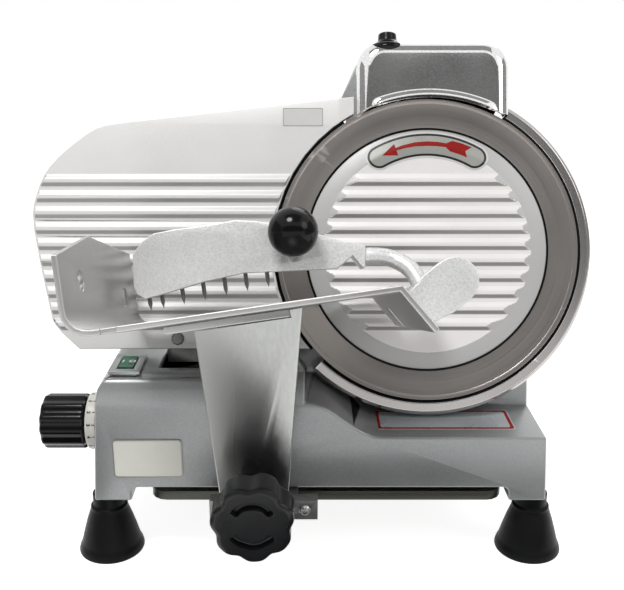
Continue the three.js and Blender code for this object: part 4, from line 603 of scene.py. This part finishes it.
arrowShape = {  # degrees round the label's middle, then the lower edge, middle and upper edge
    "across": [
        (-27.8, 70.4, 70.4, 70.4), (-18.7, 65.8, 70.2, 74.8), (-18.69, 69.6, 70.6, 71.6),
        (-14.0, 69.6, 71.0, 72.1), (-7.0, 69.5, 71.0, 72.6), (0.0, 69.4, 71.0, 72.7),
        (6.0, 69.5, 71.0, 72.8), (11.4, 69.8, 71.2, 72.8), (14.3, 67.4, 71.3, 75.6),
        (20.0, 67.4, 71.4, 75.8), (25.6, 67.5, 71.1, 75.9)],
    "notch": -2.5,
}


def plateOutline(p, inset, steps=6):
    radius = p.corner - inset * p.cornerShrinks
    x0, x1 = p.left + inset + radius, p.right - inset - radius
    z0, z1 = p.bottom + inset + radius, p.top - inset - radius
    corners = ((x1, z1, 0), (x0, z1, 90), (x0, z0, 180), (x1, z0, 270))
    turns = [(x, z, radians(a + 90 * k / steps)) for x, z, a in corners for k in range(steps + 1)]
    return [(x + radius * cos(a), z + radius * sin(a)) for x, z, a in turns]


def makePlate(face, line, p):
    outer, inner = [plateOutline(p, inset) for inset in p.lineInsets]
    flatPiece(face, plateOutline(p, p.faceInset), p.thickness, p.place, p.finishes[0], p.node)
    rimPiece(line, outer, inner, p.thickness + p.lineRise, p.place, p.finishes[1], p.node)


def arched(angle, radius):
    a = radians(angle)
    return (radius * sin(a), arrowLabel["middleU"] + radius * cos(a))


def stations(inset, steps=40, capSteps=10):  # outer, middle and inner points from the left end to the right
    low, high, half = arrowLabel["inner"] + inset, arrowLabel["outer"] - inset, arrowLabel["halfAngle"]
    middle, cap = (low + high) / 2, (high - low) / 2
    left = []
    for k in range(capSteps, 0, -1):  # the round left end, drawn in as it goes out
        turn = pi / 2 * k / capSteps
        angle = -half - degrees(cap * sin(turn) / middle)
        left.append((angle, middle - cap * cos(turn), middle, middle + cap * cos(turn)))
    straight = [(-half + 2 * half * k / steps, low, middle, high) for k in range(steps + 1)]
    return left + straight + [(-a, *radii) for a, *radii in reversed(left)]


def bandOutline(inset):
    line = stations(inset)
    back = [arched(a, low) for a, low, mid, high in line[-2:0:-1]]
    return [arched(a, high) for a, low, mid, high in line] + back


def coverFold(x, z):  # the cover is flat, then falls back as a cone
    p = fields(**arrowLabel)
    return p.coverFace + max(0.0, hypot(x, z) - p.flatRadius) * p.rimSlope


def stripPiece(name, across, thickness, finish, node, cuts=6):  # a thin sheet on the cover
    bm = bmesh.new()
    grid = []
    for row in across:
        fine = [Vector(a).lerp(Vector(b), k / cuts) for a, b in zip(row, row[1:]) for k in range(cuts)]
        grid.append([bm.verts.new((x * mm, coverFold(x, z) * mm, z * mm)) for x, z in fine + [row[-1]]])
    skin(bm, grid)
    welded(bm, "sheet")
    thicken(bm, thickness)
    return addPiece(name, toMesh(bm, bladeFrame), finish, node)


def archedRows(across):
    return [[arched(a, radius) for radius in radii] for a, *radii in across]


def makeArrowLabel():
    p, across = fields(**arrowLabel), arrowShape["across"]
    node = "blade_cover"
    stripPiece("arrow_label", archedRows(stations(0)), p.thickness, "labelWhite", node)
    stripPiece("arrow_label_field", archedRows(stations(p.lineInset)), p.thickness + p.fieldRise,
               "labelGrey", node)
    rimPiece("arrow_label_line", bandOutline(p.lineInset), bandOutline(p.lineInset + p.line),
             p.thickness + p.lineRise, bladeFrame, "labelBlack", node, coverFold)
    rows = archedRows(across)
    rows[-1][1] = arched(across[-1][0] + arrowShape["notch"], across[-1][2])
    stripPiece("arrow_label_arrow", rows, p.thickness + p.arrowRise, "labelRed", node)


for plateNames, row in plates.items():
    makePlate(*plateNames, fields(**dict(zip(plateColumns, row))))
makeArrowLabel()
print("plates and labels ready")

# Blade, guard ring and cover, rounder than the CAD's. The profiles are radius and place along the axle
blade = {"round": 0.25, "profile": [
    (12.2, 6.0), (85.5, 6.0), (88.5, 3.0), (99.25, 1.86), (106.8, 0.95), (107.0, 0.7), (110.0, 0.0),
    (110.0, 0.6), (101.0, 6.0), (98.3, 9.0), (30.0, 9.0), (30.0, 13.0), (12.2, 13.0), (12.2, 6.0)]}
guard = {"round": 0.9, "sweep": (-133.0, 60.0), "profile": [
    (96.0, 18.25), (96.0, 14.25), (113.0, 14.25), (113.0, 8.4), (112.3, 7.4), (112.3, 5.2), (112.7, 4.75),
    (113.2, 4.75), (113.6, 5.25), (119.3, 5.0), (121.7, 7.4), (121.7, 18.25), (96.0, 18.25)]}
edgeLine = {  # black strips that paint the shade in the gaps round the blade
    "profile": [(108.0, 5.8), (108.0, 3.8), (112.6, 2.2), (112.6, 5.8), (108.0, 5.8)],
    "parts": [("guard_ring_shadow_line", 240, (-132.7, 59.7), "guard_ring"),
              ("blade_housing_shadow_line", 120, (123.0, 221.0), "blade_housing")]}
# a black ring that paints the shade in the gap between the cover and the blade
coverGapShade = [(87.0, 3.4), (87.0, 2.75), (89.3, 2.75), (89.3, 3.4), (87.0, 3.4)]
cover = {"flat": 76.0, "face": -0.6, "ribPitch": 11.7, "ribs": 10, "ribFirst": 50.2, "ribHeight": 1.8,
         "ribBase": 4.5, "ribCrest": 1.2, "ribSlope": 5.0, "ribRound": 0.45,
         "rim": [(76.6, -0.54), (86.7, 2.0), (87.3, 2.25), (87.6, 2.6), (87.5, 3.05), (76.0, 2.05),
                 (11.0, 2.0), (11.0, 5.7)]}


def ribRise(z, radius):
    c = fields(**cover)
    away = min(abs(z - c.ribFirst + k * c.ribPitch) for k in range(c.ribs))
    rise = (c.ribBase - away) / (c.ribBase - c.ribCrest)
    soft = c.ribRound / (c.ribBase - c.ribCrest)

    def eased(t):  # no less than 0, with a soft bend
        return 0 if t <= -soft else (t + soft) ** 2 / (4 * soft) if t < soft else t

    room = (c.flat - radius) / c.ribSlope
    return c.ribHeight * max(0.0, min(1 - eased(1 - eased(rise)), room))


def coverGrid(bm):  # the flat face, with rows of points along the ribs' edges
    c = fields(**cover)
    soft = c.ribRound
    steps = [edge + shift for edge in (c.ribCrest, c.ribBase) for shift in (-soft, 0, soft)]
    middles = [c.ribFirst - k * c.ribPitch for k in range(c.ribs)]
    marks = [z + side * d for z in middles for side in (-1, 1) for d in steps]
    rows = [c.flat * sin(radians(a)) for a in range(-90, 91)]
    rows = sorted([z for z in rows if min(abs(z - m) for m in marks) > 0.3] + marks)
    across = [sin(radians(a)) for a in range(-90, 91, 2)]
    grid = []
    for z in rows:
        half = sqrt(max(0.0, c.flat ** 2 - z * z))
        points = [(half * t, c.face - ribRise(z, hypot(half * t, z)), z) for t in across]
        grid.append([bm.verts.new(Vector(p) * mm) for p in points])
    skin(bm, grid)
    welded(bm, "sheet")


def makeCover():
    c = fields(**cover)
    bm = bmesh.new()
    coverGrid(bm)
    turnedMark = bm.verts.layers.float.new("turned")
    for v in bm.verts:  # the ribs' sloping ends and the rim are cut on the lathe
        radius = hypot(v.co.x, v.co.z) / mm
        slope = (c.flat - radius) / c.ribSlope * c.ribHeight
        high = c.face - v.co.y / mm
        v[turnedMark] = float(radius > c.flat - 0.4 or (high > 0.1 and abs(high - slope) < 0.06))
    edge = [v for v in bm.verts if v.is_boundary]
    edge.sort(key=lambda v: atan2(v.co.z, v.co.x))
    angles = [atan2(v.co.z, v.co.x) for v in edge]
    rings = [edge]
    for radius, along in c.rim:
        points = [Vector((radius * cos(a), along, radius * sin(a))) * mm for a in angles]
        rings.append([bm.verts.new(p) for p in points])
        for v in rings[-1]:
            v[turnedMark] = 1.0
    skin(bm, rings, closed=True)
    bm.faces.new(rings[-1])
    standIn("blade_cover_ribbed", toMesh(bm, bladeFrame, 40), "coverAluminium", "blade_cover")
    # painted shade in the gap between the cover and the blade
    addPiece("blade_seat_line", lathed(coverGapShade, 240, bladeFrame), "blackRubber", "blade_cover")


standIn("blade_ground", turnedPart(blade, 360, bladeFrame, 25, 3), "groundSteel", "blade")
standIn("guard_ring_round", turnedPart(guard, 260, bladeFrame, 25), "ringMetal", "guard_ring")
for lineName, sides, sweep, nodeName in edgeLine["parts"]:
    line = lathed(edgeLine["profile"], sides, bladeFrame, 30, sweep)
    addPiece(lineName, line, "blackRubber", nodeName)
makeCover()
print("blade, ring and cover ready")


# Shapes that follow a rule are grown by Geometry Nodes
def newTree(name, sizes):
    tree = bpy.data.node_groups.new(name, "GeometryNodeTree")
    tree.interface.new_socket("Geometry", in_out="INPUT", socket_type="NodeSocketGeometry")
    for label, size in sizes.items():
        kind = "NodeSocketInt" if isinstance(size, int) else "NodeSocketFloat"
        tree.interface.new_socket(label, in_out="INPUT", socket_type=kind).default_value = size
    tree.interface.new_socket("Geometry", in_out="OUTPUT", socket_type="NodeSocketGeometry")
    return tree, named(tree.nodes.new("NodeGroupInput"))


def endTree(tree, geometry, finish):
    real = result(tree, "GeometryNodeRealizeInstances", {0: geometry})
    dressed = result(tree, "GeometryNodeSetMaterial", {"Geometry": real, "Material": made[finish]})
    fill(tree.nodes.new("NodeGroupOutput").inputs[0], dressed)
    return tree


def rodOf(tree, given, vertices, sideSegments, fillSegments, names=("Radius", "Length")):
    rod = result(tree, "GeometryNodeMeshCylinder", {
        "Vertices": vertices, "Side Segments": sideSegments, "Fill Segments": fillSegments,
        "Radius": given[names[0]], "Depth": given[names[1]]}, "Mesh")
    return rod, result(tree, "GeometryNodeInputPosition")


def reshaped(tree, geometry, x, y, z):
    moved = joined(tree, x, y, z)
    return result(tree, "GeometryNodeSetPosition", {"Geometry": geometry, "Position": moved})


def onPoints(tree, given, shape, turn):
    return result(tree, "GeometryNodeInstanceOnPoints", {
        "Points": given["Geometry"], "Instance": shape, "Rotation": turn})


def grow(tree, place, start=None, lengths={}, numbers={}):  # lengths in mm, where not as the tree says
    host = linked("grown host", start or bpy.data.meshes.new("grown start"))
    modifier = host.modifiers.new("grown", "NODES")
    modifier.node_group = tree
    ids = {item.name: item.identifier for item in tree.interface.items_tree if item.in_out == "INPUT"}
    for label, size in {**{key: length * mm for key, length in lengths.items()}, **numbers}.items():
        modifier[ids[label]] = size
    mesh = evaluated(host)
    mesh.transform(place)
    return mesh


def pointsMesh(points):
    start = bpy.data.meshes.new("points")
    start.from_pydata([Vector(p) * mm for p in points], [], [])
    return start


def lobedTree(finish):  # a round grip with lobes or flutes, rounded rims and two curved pockets in its front
    sizes = {"Radius": 0.02, "Length": 0.03, "Lobes": 7, "Lobe Depth": 0.002, "Lobe Power": 1.0,
             "Lobe Turn": 0.0, "Edge": 0.003, "Pocket Inner": 0.01, "Pocket Outer": 0.015,
             "Pocket Depth": 0.0}
    tree, given = newTree("lobed grip", sizes)
    radius, edge, half = given["Radius"], given["Edge"], given["Length"] * 0.5
    grip, where = rodOf(tree, given, given["Lobes"] * 28.0, 24, 44)
    x, y, z = split(where)
    out = offAxis(where, (1, 1, 0))[1]
    angle = maths("ARCTAN2", y, x)
    wave = maths("COSINE", (angle - given["Lobe Turn"]) * given["Lobes"])
    valley = ((1.0 - wave) * 0.5) ** given["Lobe Power"]
    dip = valley * 2.0 * given["Lobe Depth"]
    lobe = 1.0 - dip / radius * (out / radius) ** 3.0
    over = abs(z) - (half - edge)
    turn = maths("MINIMUM", maths("MAXIMUM", over / edge, 0.0), 1.0)
    drawn = 1.0 - maths("SQRT", 1.0 - turn ** 2.0)
    scale = lobe * (1.0 - drawn * edge / radius)

    def within(source, low, high):  # a steep step up from low to high
        return spread(source, 0, 1, low, high, interpolation_type="SMOOTHSTEP")

    inner, outer = given["Pocket Inner"], given["Pocket Outer"]
    across = within(out, inner, inner * 1.08) - within(out, outer, outer * 1.06)
    inPocket = across * within(abs(maths("COSINE", angle)), 0.53, 0.60)
    sunk = inPocket * maths("GREATER_THAN", z, half * 0.98) * given["Pocket Depth"]
    return endTree(tree, reshaped(tree, grip, x * scale, y * scale, z - sunk), finish)


grips = lobedTree("blackPlastic")
lockKnob = {
    "x": -44.8, "z": 68.3, "middle": -54.5, "round": 0.8,  # the profile and its rounding are the hub's
    "lengths": {"Radius": 27.5, "Length": 24.0, "Lobe Depth": 1.35, "Edge": 3.2, "Pocket Inner": 13.5,
                "Pocket Outer": 18.6, "Pocket Depth": 5.0},
    "numbers": {"Lobes": 7, "Lobe Power": 1.9, "Lobe Turn": 0.52},
    "profile": [(0, -43.5), (13.2, -43.5), (12.0, -39.5), (12.0, -31.5), (4.0, -31.5), (4.0, -8.0),
                (0, -8.0)]}
thicknessKnob = {"place": baseFrame @ shifted(-185.25, 30.0, 96.6) @ turned(-90, "Y"),
                 "numbers": {"Lobes": 12},
                 "lengths": {"Radius": 20.0, "Length": 33.0, "Lobe Depth": 0.6, "Edge": 3.0}}


def makeLockKnob():
    k = fields(**lockKnob)
    spot = baseFrame @ shifted(k.x, 0, k.z)
    place = baseFrame @ shifted(k.x, k.middle, k.z) @ turned(90, "X") @ turned(90, "Z")
    head = smoothed(grow(grips, place, None, k.lengths, k.numbers), 50)
    standIn("lock_knob_head", head, "knobSatin", "carriage_lock_knob")
    addPiece("lock_knob_hub", turnedPart(lockKnob, 48, spot, 40), "blackPlastic", "carriage_lock_knob")


ball = {"place": (-96.7, -70.0, -7.0), "rise": 35.0, "radius": 16.0, "neck": 7.0, "start": 6.3, "steps": 36}


def makeBall():
    b = fields(**ball)
    centre = b.start + sqrt(b.radius ** 2 - b.neck ** 2)
    first = -acos(b.neck / b.radius)
    profile = [(0, b.start), (b.neck - 0.6, b.start)]
    for k in range(b.steps):
        a = first + (pi / 2 - first) * k / b.steps
        profile.append((b.radius * cos(a), centre + b.radius * sin(a)))
    profile.append((0, centre + b.radius))
    place = bladeFrame @ shifted(*b.place) @ turned(180 - b.rise, "X")
    standIn("ball_knob_round", lathed(profile, 72, place, 50), "blackPlastic", "ball_knob")


foot = {"across": {"left": -155.7, "right": 155.7}, "along": {"front": 15.0, "rear": 228.5}, "round": 0.9,
        "profile": [(0, 8.0), (15.0, 8.0), (15.0, 0), (23.4, 0), (24.0, 1.6), (23.16, 4.7), (21.6, 7.99),
                    (19.2, 16.92), (16.56, 25.85), (14.4, 31.96), (13.44, 34.78), (13.44, 37.13),
                    (11.5, 37.6), (11.5, 47.0), (0, 47.0)]}


def makeFeet():
    for side, x in foot["across"].items():
        for end, y in foot["along"].items():
            name = "foot_%s_%s" % (end, side)
            place = baseFrame @ shifted(x, y, 0) @ turned(90, "X")
            standIn(name + "_flared", turnedPart(foot, 64, place, 40), "blackRubber", name)


makeLockKnob()
knob = grow(grips, **thicknessKnob)
standIn("thickness_knob_fluted", smoothed(knob, 50), "blackPlastic", "thickness_knob")
makeBall()
makeFeet()
print("knobs and feet ready")

sharpener = {
    "left": -51.5, "right": 58.5, "top": 150.5, "bottom": 96.5, "corner": 20.0, "front": -13.5, "back": 23.3,
    "shoulder": 10.5, "shoulderSteps": 10, "wall": 2.6, "arch": 109.5, "lipRise": 4.8, "lipOut": 2.2,
    "lipSteps": 8, "lipFade": 5, "columns": 60, "clearance": 124.7, "archSteps": 40,
    "rearWall": {"back": 23.2, "thickness": 2.6, "soft": 0.3},
    "linings": {  # black strips that paint the shade under the sharpener: front, rear, inner and outer
        "front": (-10.7, -9.5, 110.0, 121.0), "rear": (17.5, 19.0, 109.6, 119.6)},
    "liningSweep": (62.6, 113.3)}
sharpenerKnob = {"round": 0.9, "place": bladeFrame @ shifted(-29.0, -1.0, 0) @ turned(90, "X"), "profile": [
    (0, 142.55), (12.5, 142.55), (13.9, 145.1), (12.7, 147.9), (8.7, 150.1), (6.9, 151.9), (6.5, 156.7),
    (5.5, 157.6), (0, 157.6)]}


def sidePath(inset, steps=10):  # from the left foot over the top to the right foot
    s = fields(**sharpener)
    left, right, top, corner = s.left + inset, s.right - inset, s.top - inset, s.corner - inset

    def climb(x):
        low = max(s.bottom, sqrt(s.arch ** 2 - x * x))
        high = sqrt((s.arch + s.lipRise) ** 2 - x * x)
        return [(x, low + (high - low) * j / s.lipSteps) for j in range(s.lipSteps + 1)]

    path = climb(left)
    for middle, start in ((left + corner, pi), (right - corner, pi / 2)):
        for j in range(steps + 1):
            a = start - pi / 2 * j / steps
            path.append((middle + corner * cos(a), top - corner + corner * sin(a)))
    return path + climb(right)[::-1]


def sharpenerShell():  # a shell with a wide round on its shoulders and a flared lip over the blade
    s = fields(**sharpener)
    bm = bmesh.new()
    paths = [(sidePath(0), s.back), (sidePath(0), s.front + s.shoulder)]
    for j in range(1, s.shoulderSteps + 1):
        a = pi / 2 * j / s.shoulderSteps
        depth = s.front + s.shoulder * (1 - sin(a))
        paths.append((sidePath(s.shoulder * (1 - cos(a))), depth))
    rows = [[bm.verts.new((x * mm, y * mm, z * mm)) for x, z in path] for path, y in paths]
    skin(bm, rows)
    last, lipSteps, columns = rows[-1], s.lipSteps, s.columns
    left, right = last[0].co.x / mm, last[-1].co.x / mm
    lip = []
    for j in range(lipSteps + 1):
        radius, t = s.arch + s.lipRise * j / lipSteps, j / lipSteps
        line = []
        for x in [left + (right - left) * i / columns for i in range(1, columns)]:
            fade = min(1.0, (x - left) / s.lipFade, (right - x) / s.lipFade)
            depth = s.front - s.lipOut * fade * (1 - t) ** 2
            line.append(bm.verts.new(Vector((x, depth, sqrt(radius ** 2 - x * x))) * mm))
        lip.append([last[j]] + line + [last[-1 - j]])
    skin(bm, lip)
    bm.faces.new(last[lipSteps:len(last) - lipSteps] + lip[-1][-2:0:-1])
    return toMesh(bm, bladeFrame, 32)


def makeSharpener():
    s = fields(**sharpener)
    node = "sharpener_housing"
    piece = standIn("sharpener_housing_shell", sharpenerShell(), "polished", node)
    shell = piece.modifiers.new("wall", "SOLIDIFY")
    shell.thickness, shell.offset, shell.use_even_offset = s.wall * mm, -1, False
    edges = piece.modifiers.new("soft edges", "BEVEL")
    edges.width, edges.segments, edges.limit_method = 0.5 * mm, 2, "ANGLE"
    edges.angle_limit = radians(50)
    flats = piece.modifiers.new("flat faces", "WEIGHTED_NORMAL")
    flats.mode, flats.weight, flats.keep_sharp = "FACE_AREA", 100, True
    foothold = s.lipSteps + 1
    rear = sidePath(0.3)[foothold:-foothold]
    first, final = [acos(x / s.clearance) for x in (rear[-1][0], rear[0][0])]
    turns = [first + (final - first) * j / s.archSteps for j in range(s.archSteps + 1)]
    arch = [(s.clearance * cos(a), s.clearance * sin(a)) for a in turns]
    slab("sharpener_rear_wall", rear + arch, fields(**s.rearWall), "polished", node)
    # black strips under the shell paint the shade between it and the blade
    for name, (front, rear, inner, outer) in s.linings.items():
        loop = [(inner, rear), (inner, front), (outer, front), (outer, rear), (inner, rear)]
        shadowStrip = lathed(loop, 90, bladeFrame, 30, s.liningSweep)
        addPiece("sharpener_lining_" + name, shadowStrip, "blackRubber", node)


# the sharpener bracket's left side, wider than the CAD's
bracketWing = {"back": 29.3, "thickness": 5.9, "soft": 1.0, "outline": [
    (-30.0, 100.0), (-56.0, 100.0), (-61.5, 112.0), (-61.5, 117.0), (-51.0, 140.0), (-45.0, 148.6),
    (-30.0, 148.6)]}
gaugeCorner = {"left": -64.6, "right": -53.2, "edge": 112.6, "steps": 8,
               "top": [(-53.2, 111.95), (-64.6, 110.7)], "back": 8.1, "thickness": 6.92, "soft": 0.5}


def makeGaugeCorner():  # the gauge plate's upper right corner, which reaches on towards the sharpener
    c = fields(**gaugeCorner)
    across = [c.left + (c.right - c.left) * j / c.steps for j in range(c.steps + 1)]
    outline = [(x, sqrt(c.edge ** 2 - x * x)) for x in across] + c.top
    slab("gauge_plate_corner", outline, c, "satinAluminium", "gauge_plate")


makeSharpener()
standIn("sharpener_knob_round", turnedPart(sharpenerKnob, 64, sharpenerKnob["place"], 50), "blackPlastic",
        "sharpener_knob")
slab("sharpener_bracket_wing", bracketWing["outline"], fields(**bracketWing), "greyPaint",
     "sharpener_bracket")
makeGaugeCorner()
print("sharpener ready")

# Marks: dial numbers and ticks, switch marks
dial = {"left": -168.45, "y": 30.0, "z": 96.6, "digits": 10, "first": 92.7, "pitch": -25.5, "size": 3.4,
        "height": 0.08, "digitLeft": 1.6, "digitMiddle": 0.36, "longEdge": 0.7, "tickLeft": 5.3,
        "tickLong": 1.9, "tickWide": 0.55, "tickSunk": 0.3}
switchMarks = {"size": 6.0, "height": 0.08, "lift": 0.02,
               "marks": {  # the mark and its share of the rocker's width
                   "switch_mark_on": ("I", 0.2), "switch_mark_off": ("O", 0.8)}}


def wording(text, size, height):  # a letter or figure as a thin solid, its middle at the origin
    curve = bpy.data.curves.new("wording", "FONT")
    curve.body, curve.size, curve.extrude = text, size * mm, height * mm / 2
    curve.offset = 0.045 * size * mm  # a bolder stroke
    curve.align_x, curve.align_y, curve.resolution_u = "CENTER", "CENTER", 6
    return evaluated(linked("wording", curve))


def nodeBox(name):
    node = frame["nodes"][name]
    spots = [node.matrix_world @ v.co for v in node.data.vertices]
    return [Vector([choose(p[i] for p in spots) for i in range(3)]) for choose in (min, max)]


def bentDigit(text, turn, face):  # its top to the right, its line bent round the dial
    d = fields(**dial)
    letters = wording(text, d.size, d.height)
    part = bmesh.new()
    part.from_mesh(letters)
    longEdges = [e for e in part.edges if e.calc_length() > d.longEdge * mm]
    bmesh.ops.subdivide_edges(part, edges=longEdges, cuts=2)
    for v in part.verts:
        across, up, out = v.co
        angle = turn - across / (face * mm)
        radius = (face + d.height / 2) * mm + out
        along = (d.left + d.digitLeft + d.size * d.digitMiddle) * mm + up
        v.co = (along, -radius * cos(angle), radius * sin(angle))
    part.to_mesh(letters)
    part.free()
    return letters


def makeDialMarks():
    d = fields(**dial)
    low, high = nodeBox("thickness_dial")
    face = max(high.y - low.y, high.z - low.z) / 2 / mm  # the dial's radius
    half = d.tickWide / 2 / face
    bm = bmesh.new()
    for k in range(d.digits):
        turn = radians(d.first + k * d.pitch)
        bm.from_mesh(bentDigit(str(k), turn, face))
        corners = [bm.verts.new(Vector((d.left + along, -radius * cos(turn + side),
                                        radius * sin(turn + side))) * mm)
                   for along in (d.tickLeft, d.tickLeft + d.tickLong)
                   for radius in (face - d.tickSunk, face + d.height) for side in (-half, half)]
        for loop in ((0, 1, 3, 2), (4, 6, 7, 5), (0, 2, 6, 4), (1, 5, 7, 3), (2, 3, 7, 6), (0, 4, 5, 1)):
            bm.faces.new([corners[i] for i in loop])
    welded(bm, "sheet")
    marks = toMesh(bm, baseFrame @ shifted(0, d.y, d.z))
    addPiece("dial_marks", marks, "labelBlack", "thickness_dial")


def makeSwitchMarks():  # I and O on the rocker's two wings
    low, high = nodeBox("switch_rocker")
    for name, (text, share) in switchMarks["marks"].items():
        bm = bmesh.new()
        bm.from_mesh(wording(text, switchMarks["size"], switchMarks["height"]))
        welded(bm, "sheet")
        x, y = low.x + (high.x - low.x) * share, (low.y + high.y) / 2
        spot = Vector((x, y, high.z + switchMarks["lift"] * mm))
        addPiece(name, toMesh(bm, Matrix.Translation(spot)), "labelWhite", "switch_rocker")


makeDialMarks()
makeSwitchMarks()
print("marks ready")

beltScrews = {  # points in mm in a frame that faces along its own Z
    "frame": bladeFrame @ shifted(0, 96.9, 0) @ turned(-90, "X"),
    "points": [(-58, 22, 0), (58, 22, 0), (-62, -30, 0), (62, -30, 0), (0, -62, 0)]}


def screwTree(finish):  # a slotted cheese head on every point given, facing along the points' own Z
    sizes = {"Head Radius": 0.0034, "Head Height": 0.0019, "Slot Width": 0.0009, "Slot Depth": 0.0009}
    tree, given = newTree("slotted screws", sizes)
    radius, height = given["Head Radius"], given["Head Height"]
    head, where = rodOf(tree, given, 40, 6, 6, ("Head Radius", "Head Height"))
    x, y, z = split(where)
    out = offAxis(where, (1, 1, 0))[1]
    crown = (out / radius) ** 2.0 * maths("GREATER_THAN", z, 0.0) * (height * 0.4)
    domed = reshaped(tree, head, x, y, z - crown)
    slotSize = joined(tree, radius * 2.4, given["Slot Width"], given["Slot Depth"] * 2.0)
    cutter = result(tree, "GeometryNodeMeshCube", {"Size": slotSize}, "Mesh")
    lift = joined(tree, z=height * 0.5)
    cutter = result(tree, "GeometryNodeTransform", {"Geometry": cutter, "Translation": lift})
    screw = result(tree, "GeometryNodeMeshBoolean", {"Mesh 1": domed, "Mesh 2": cutter}, "Mesh",
                   operation="DIFFERENCE")
    turn = result(tree, "FunctionNodeRandomValue", {
        "Min": (0.0, 0.0, 0.0), "Max": (0.0, 0.0, 3.1), "Seed": 7}, "Value", data_type="FLOAT_VECTOR")
    return endTree(tree, onPoints(tree, given, screw, turn), finish)


screws = grow(screwTree("turnedSteel"), beltScrews["frame"], pointsMesh(beltScrews["points"]))
addPiece("belt_cover_screws", smoothed(screws, 40), "turnedSteel", "root")
print("screws ready")

# The pusher's spikes: a slanting bar with pointed steel spikes
spikes = {
    "start": -184.0, "across": [-8.2, 0.0, 13.5, 27.4, 41.4, 55.3, 69.2], "first": -31.0, "last": -17.0,
    "span": 69.0, "back": -57.0, "thickness": 6.9, "height": 6.0, "reach": 5.0, "soft": 0.4, "lift": 0.5}


def spikeTree(finish):  # a round spike with a long point hanging from every point given
    sizes = {"Radius": 0.0014, "Length": 0.013, "Point": 0.35, "Roll": radians(places["tableRoll"])}
    tree, given = newTree("pointed spikes", sizes)
    rod, where = rodOf(tree, given, 28, 20, 3)
    x, y, z = split(where)
    share = maths("MINIMUM", (0.5 - z / given["Length"]) / given["Point"], 1.0)
    thin = maths("MAXIMUM", share, 0.08)
    spike = reshaped(tree, rod, x * thin, y * thin, z + given["Length"] * 0.5)
    return endTree(tree, onPoints(tree, given, spike, joined(tree, pi, given["Roll"])), finish)


def makeSpikes():
    k = fields(**spikes)
    middle = k.back - k.thickness / 2

    def under(d):  # the bar's lower edge
        return k.first + (k.last - k.first) / k.span * d

    left, right = k.across[0] - k.reach, k.across[-1] + k.reach
    corners = ((right, 0), (right, k.height), (left, k.height), (left, 0))
    outline = [(k.start + d, under(d) + up) for d, up in corners]
    bar = slab("spike_bar", outline, k, "turnedSteel", "spike_strip")
    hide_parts("spike_strip")
    start = pointsMesh([(k.start + d, middle, under(d) + k.lift) for d in k.across])
    points = smoothed(grow(spikeTree("castGrey"), bladeFrame, start), 50)
    addPiece("spike_points", points, "castGrey", "spike_strip")


makeSpikes()
print("spikes ready")
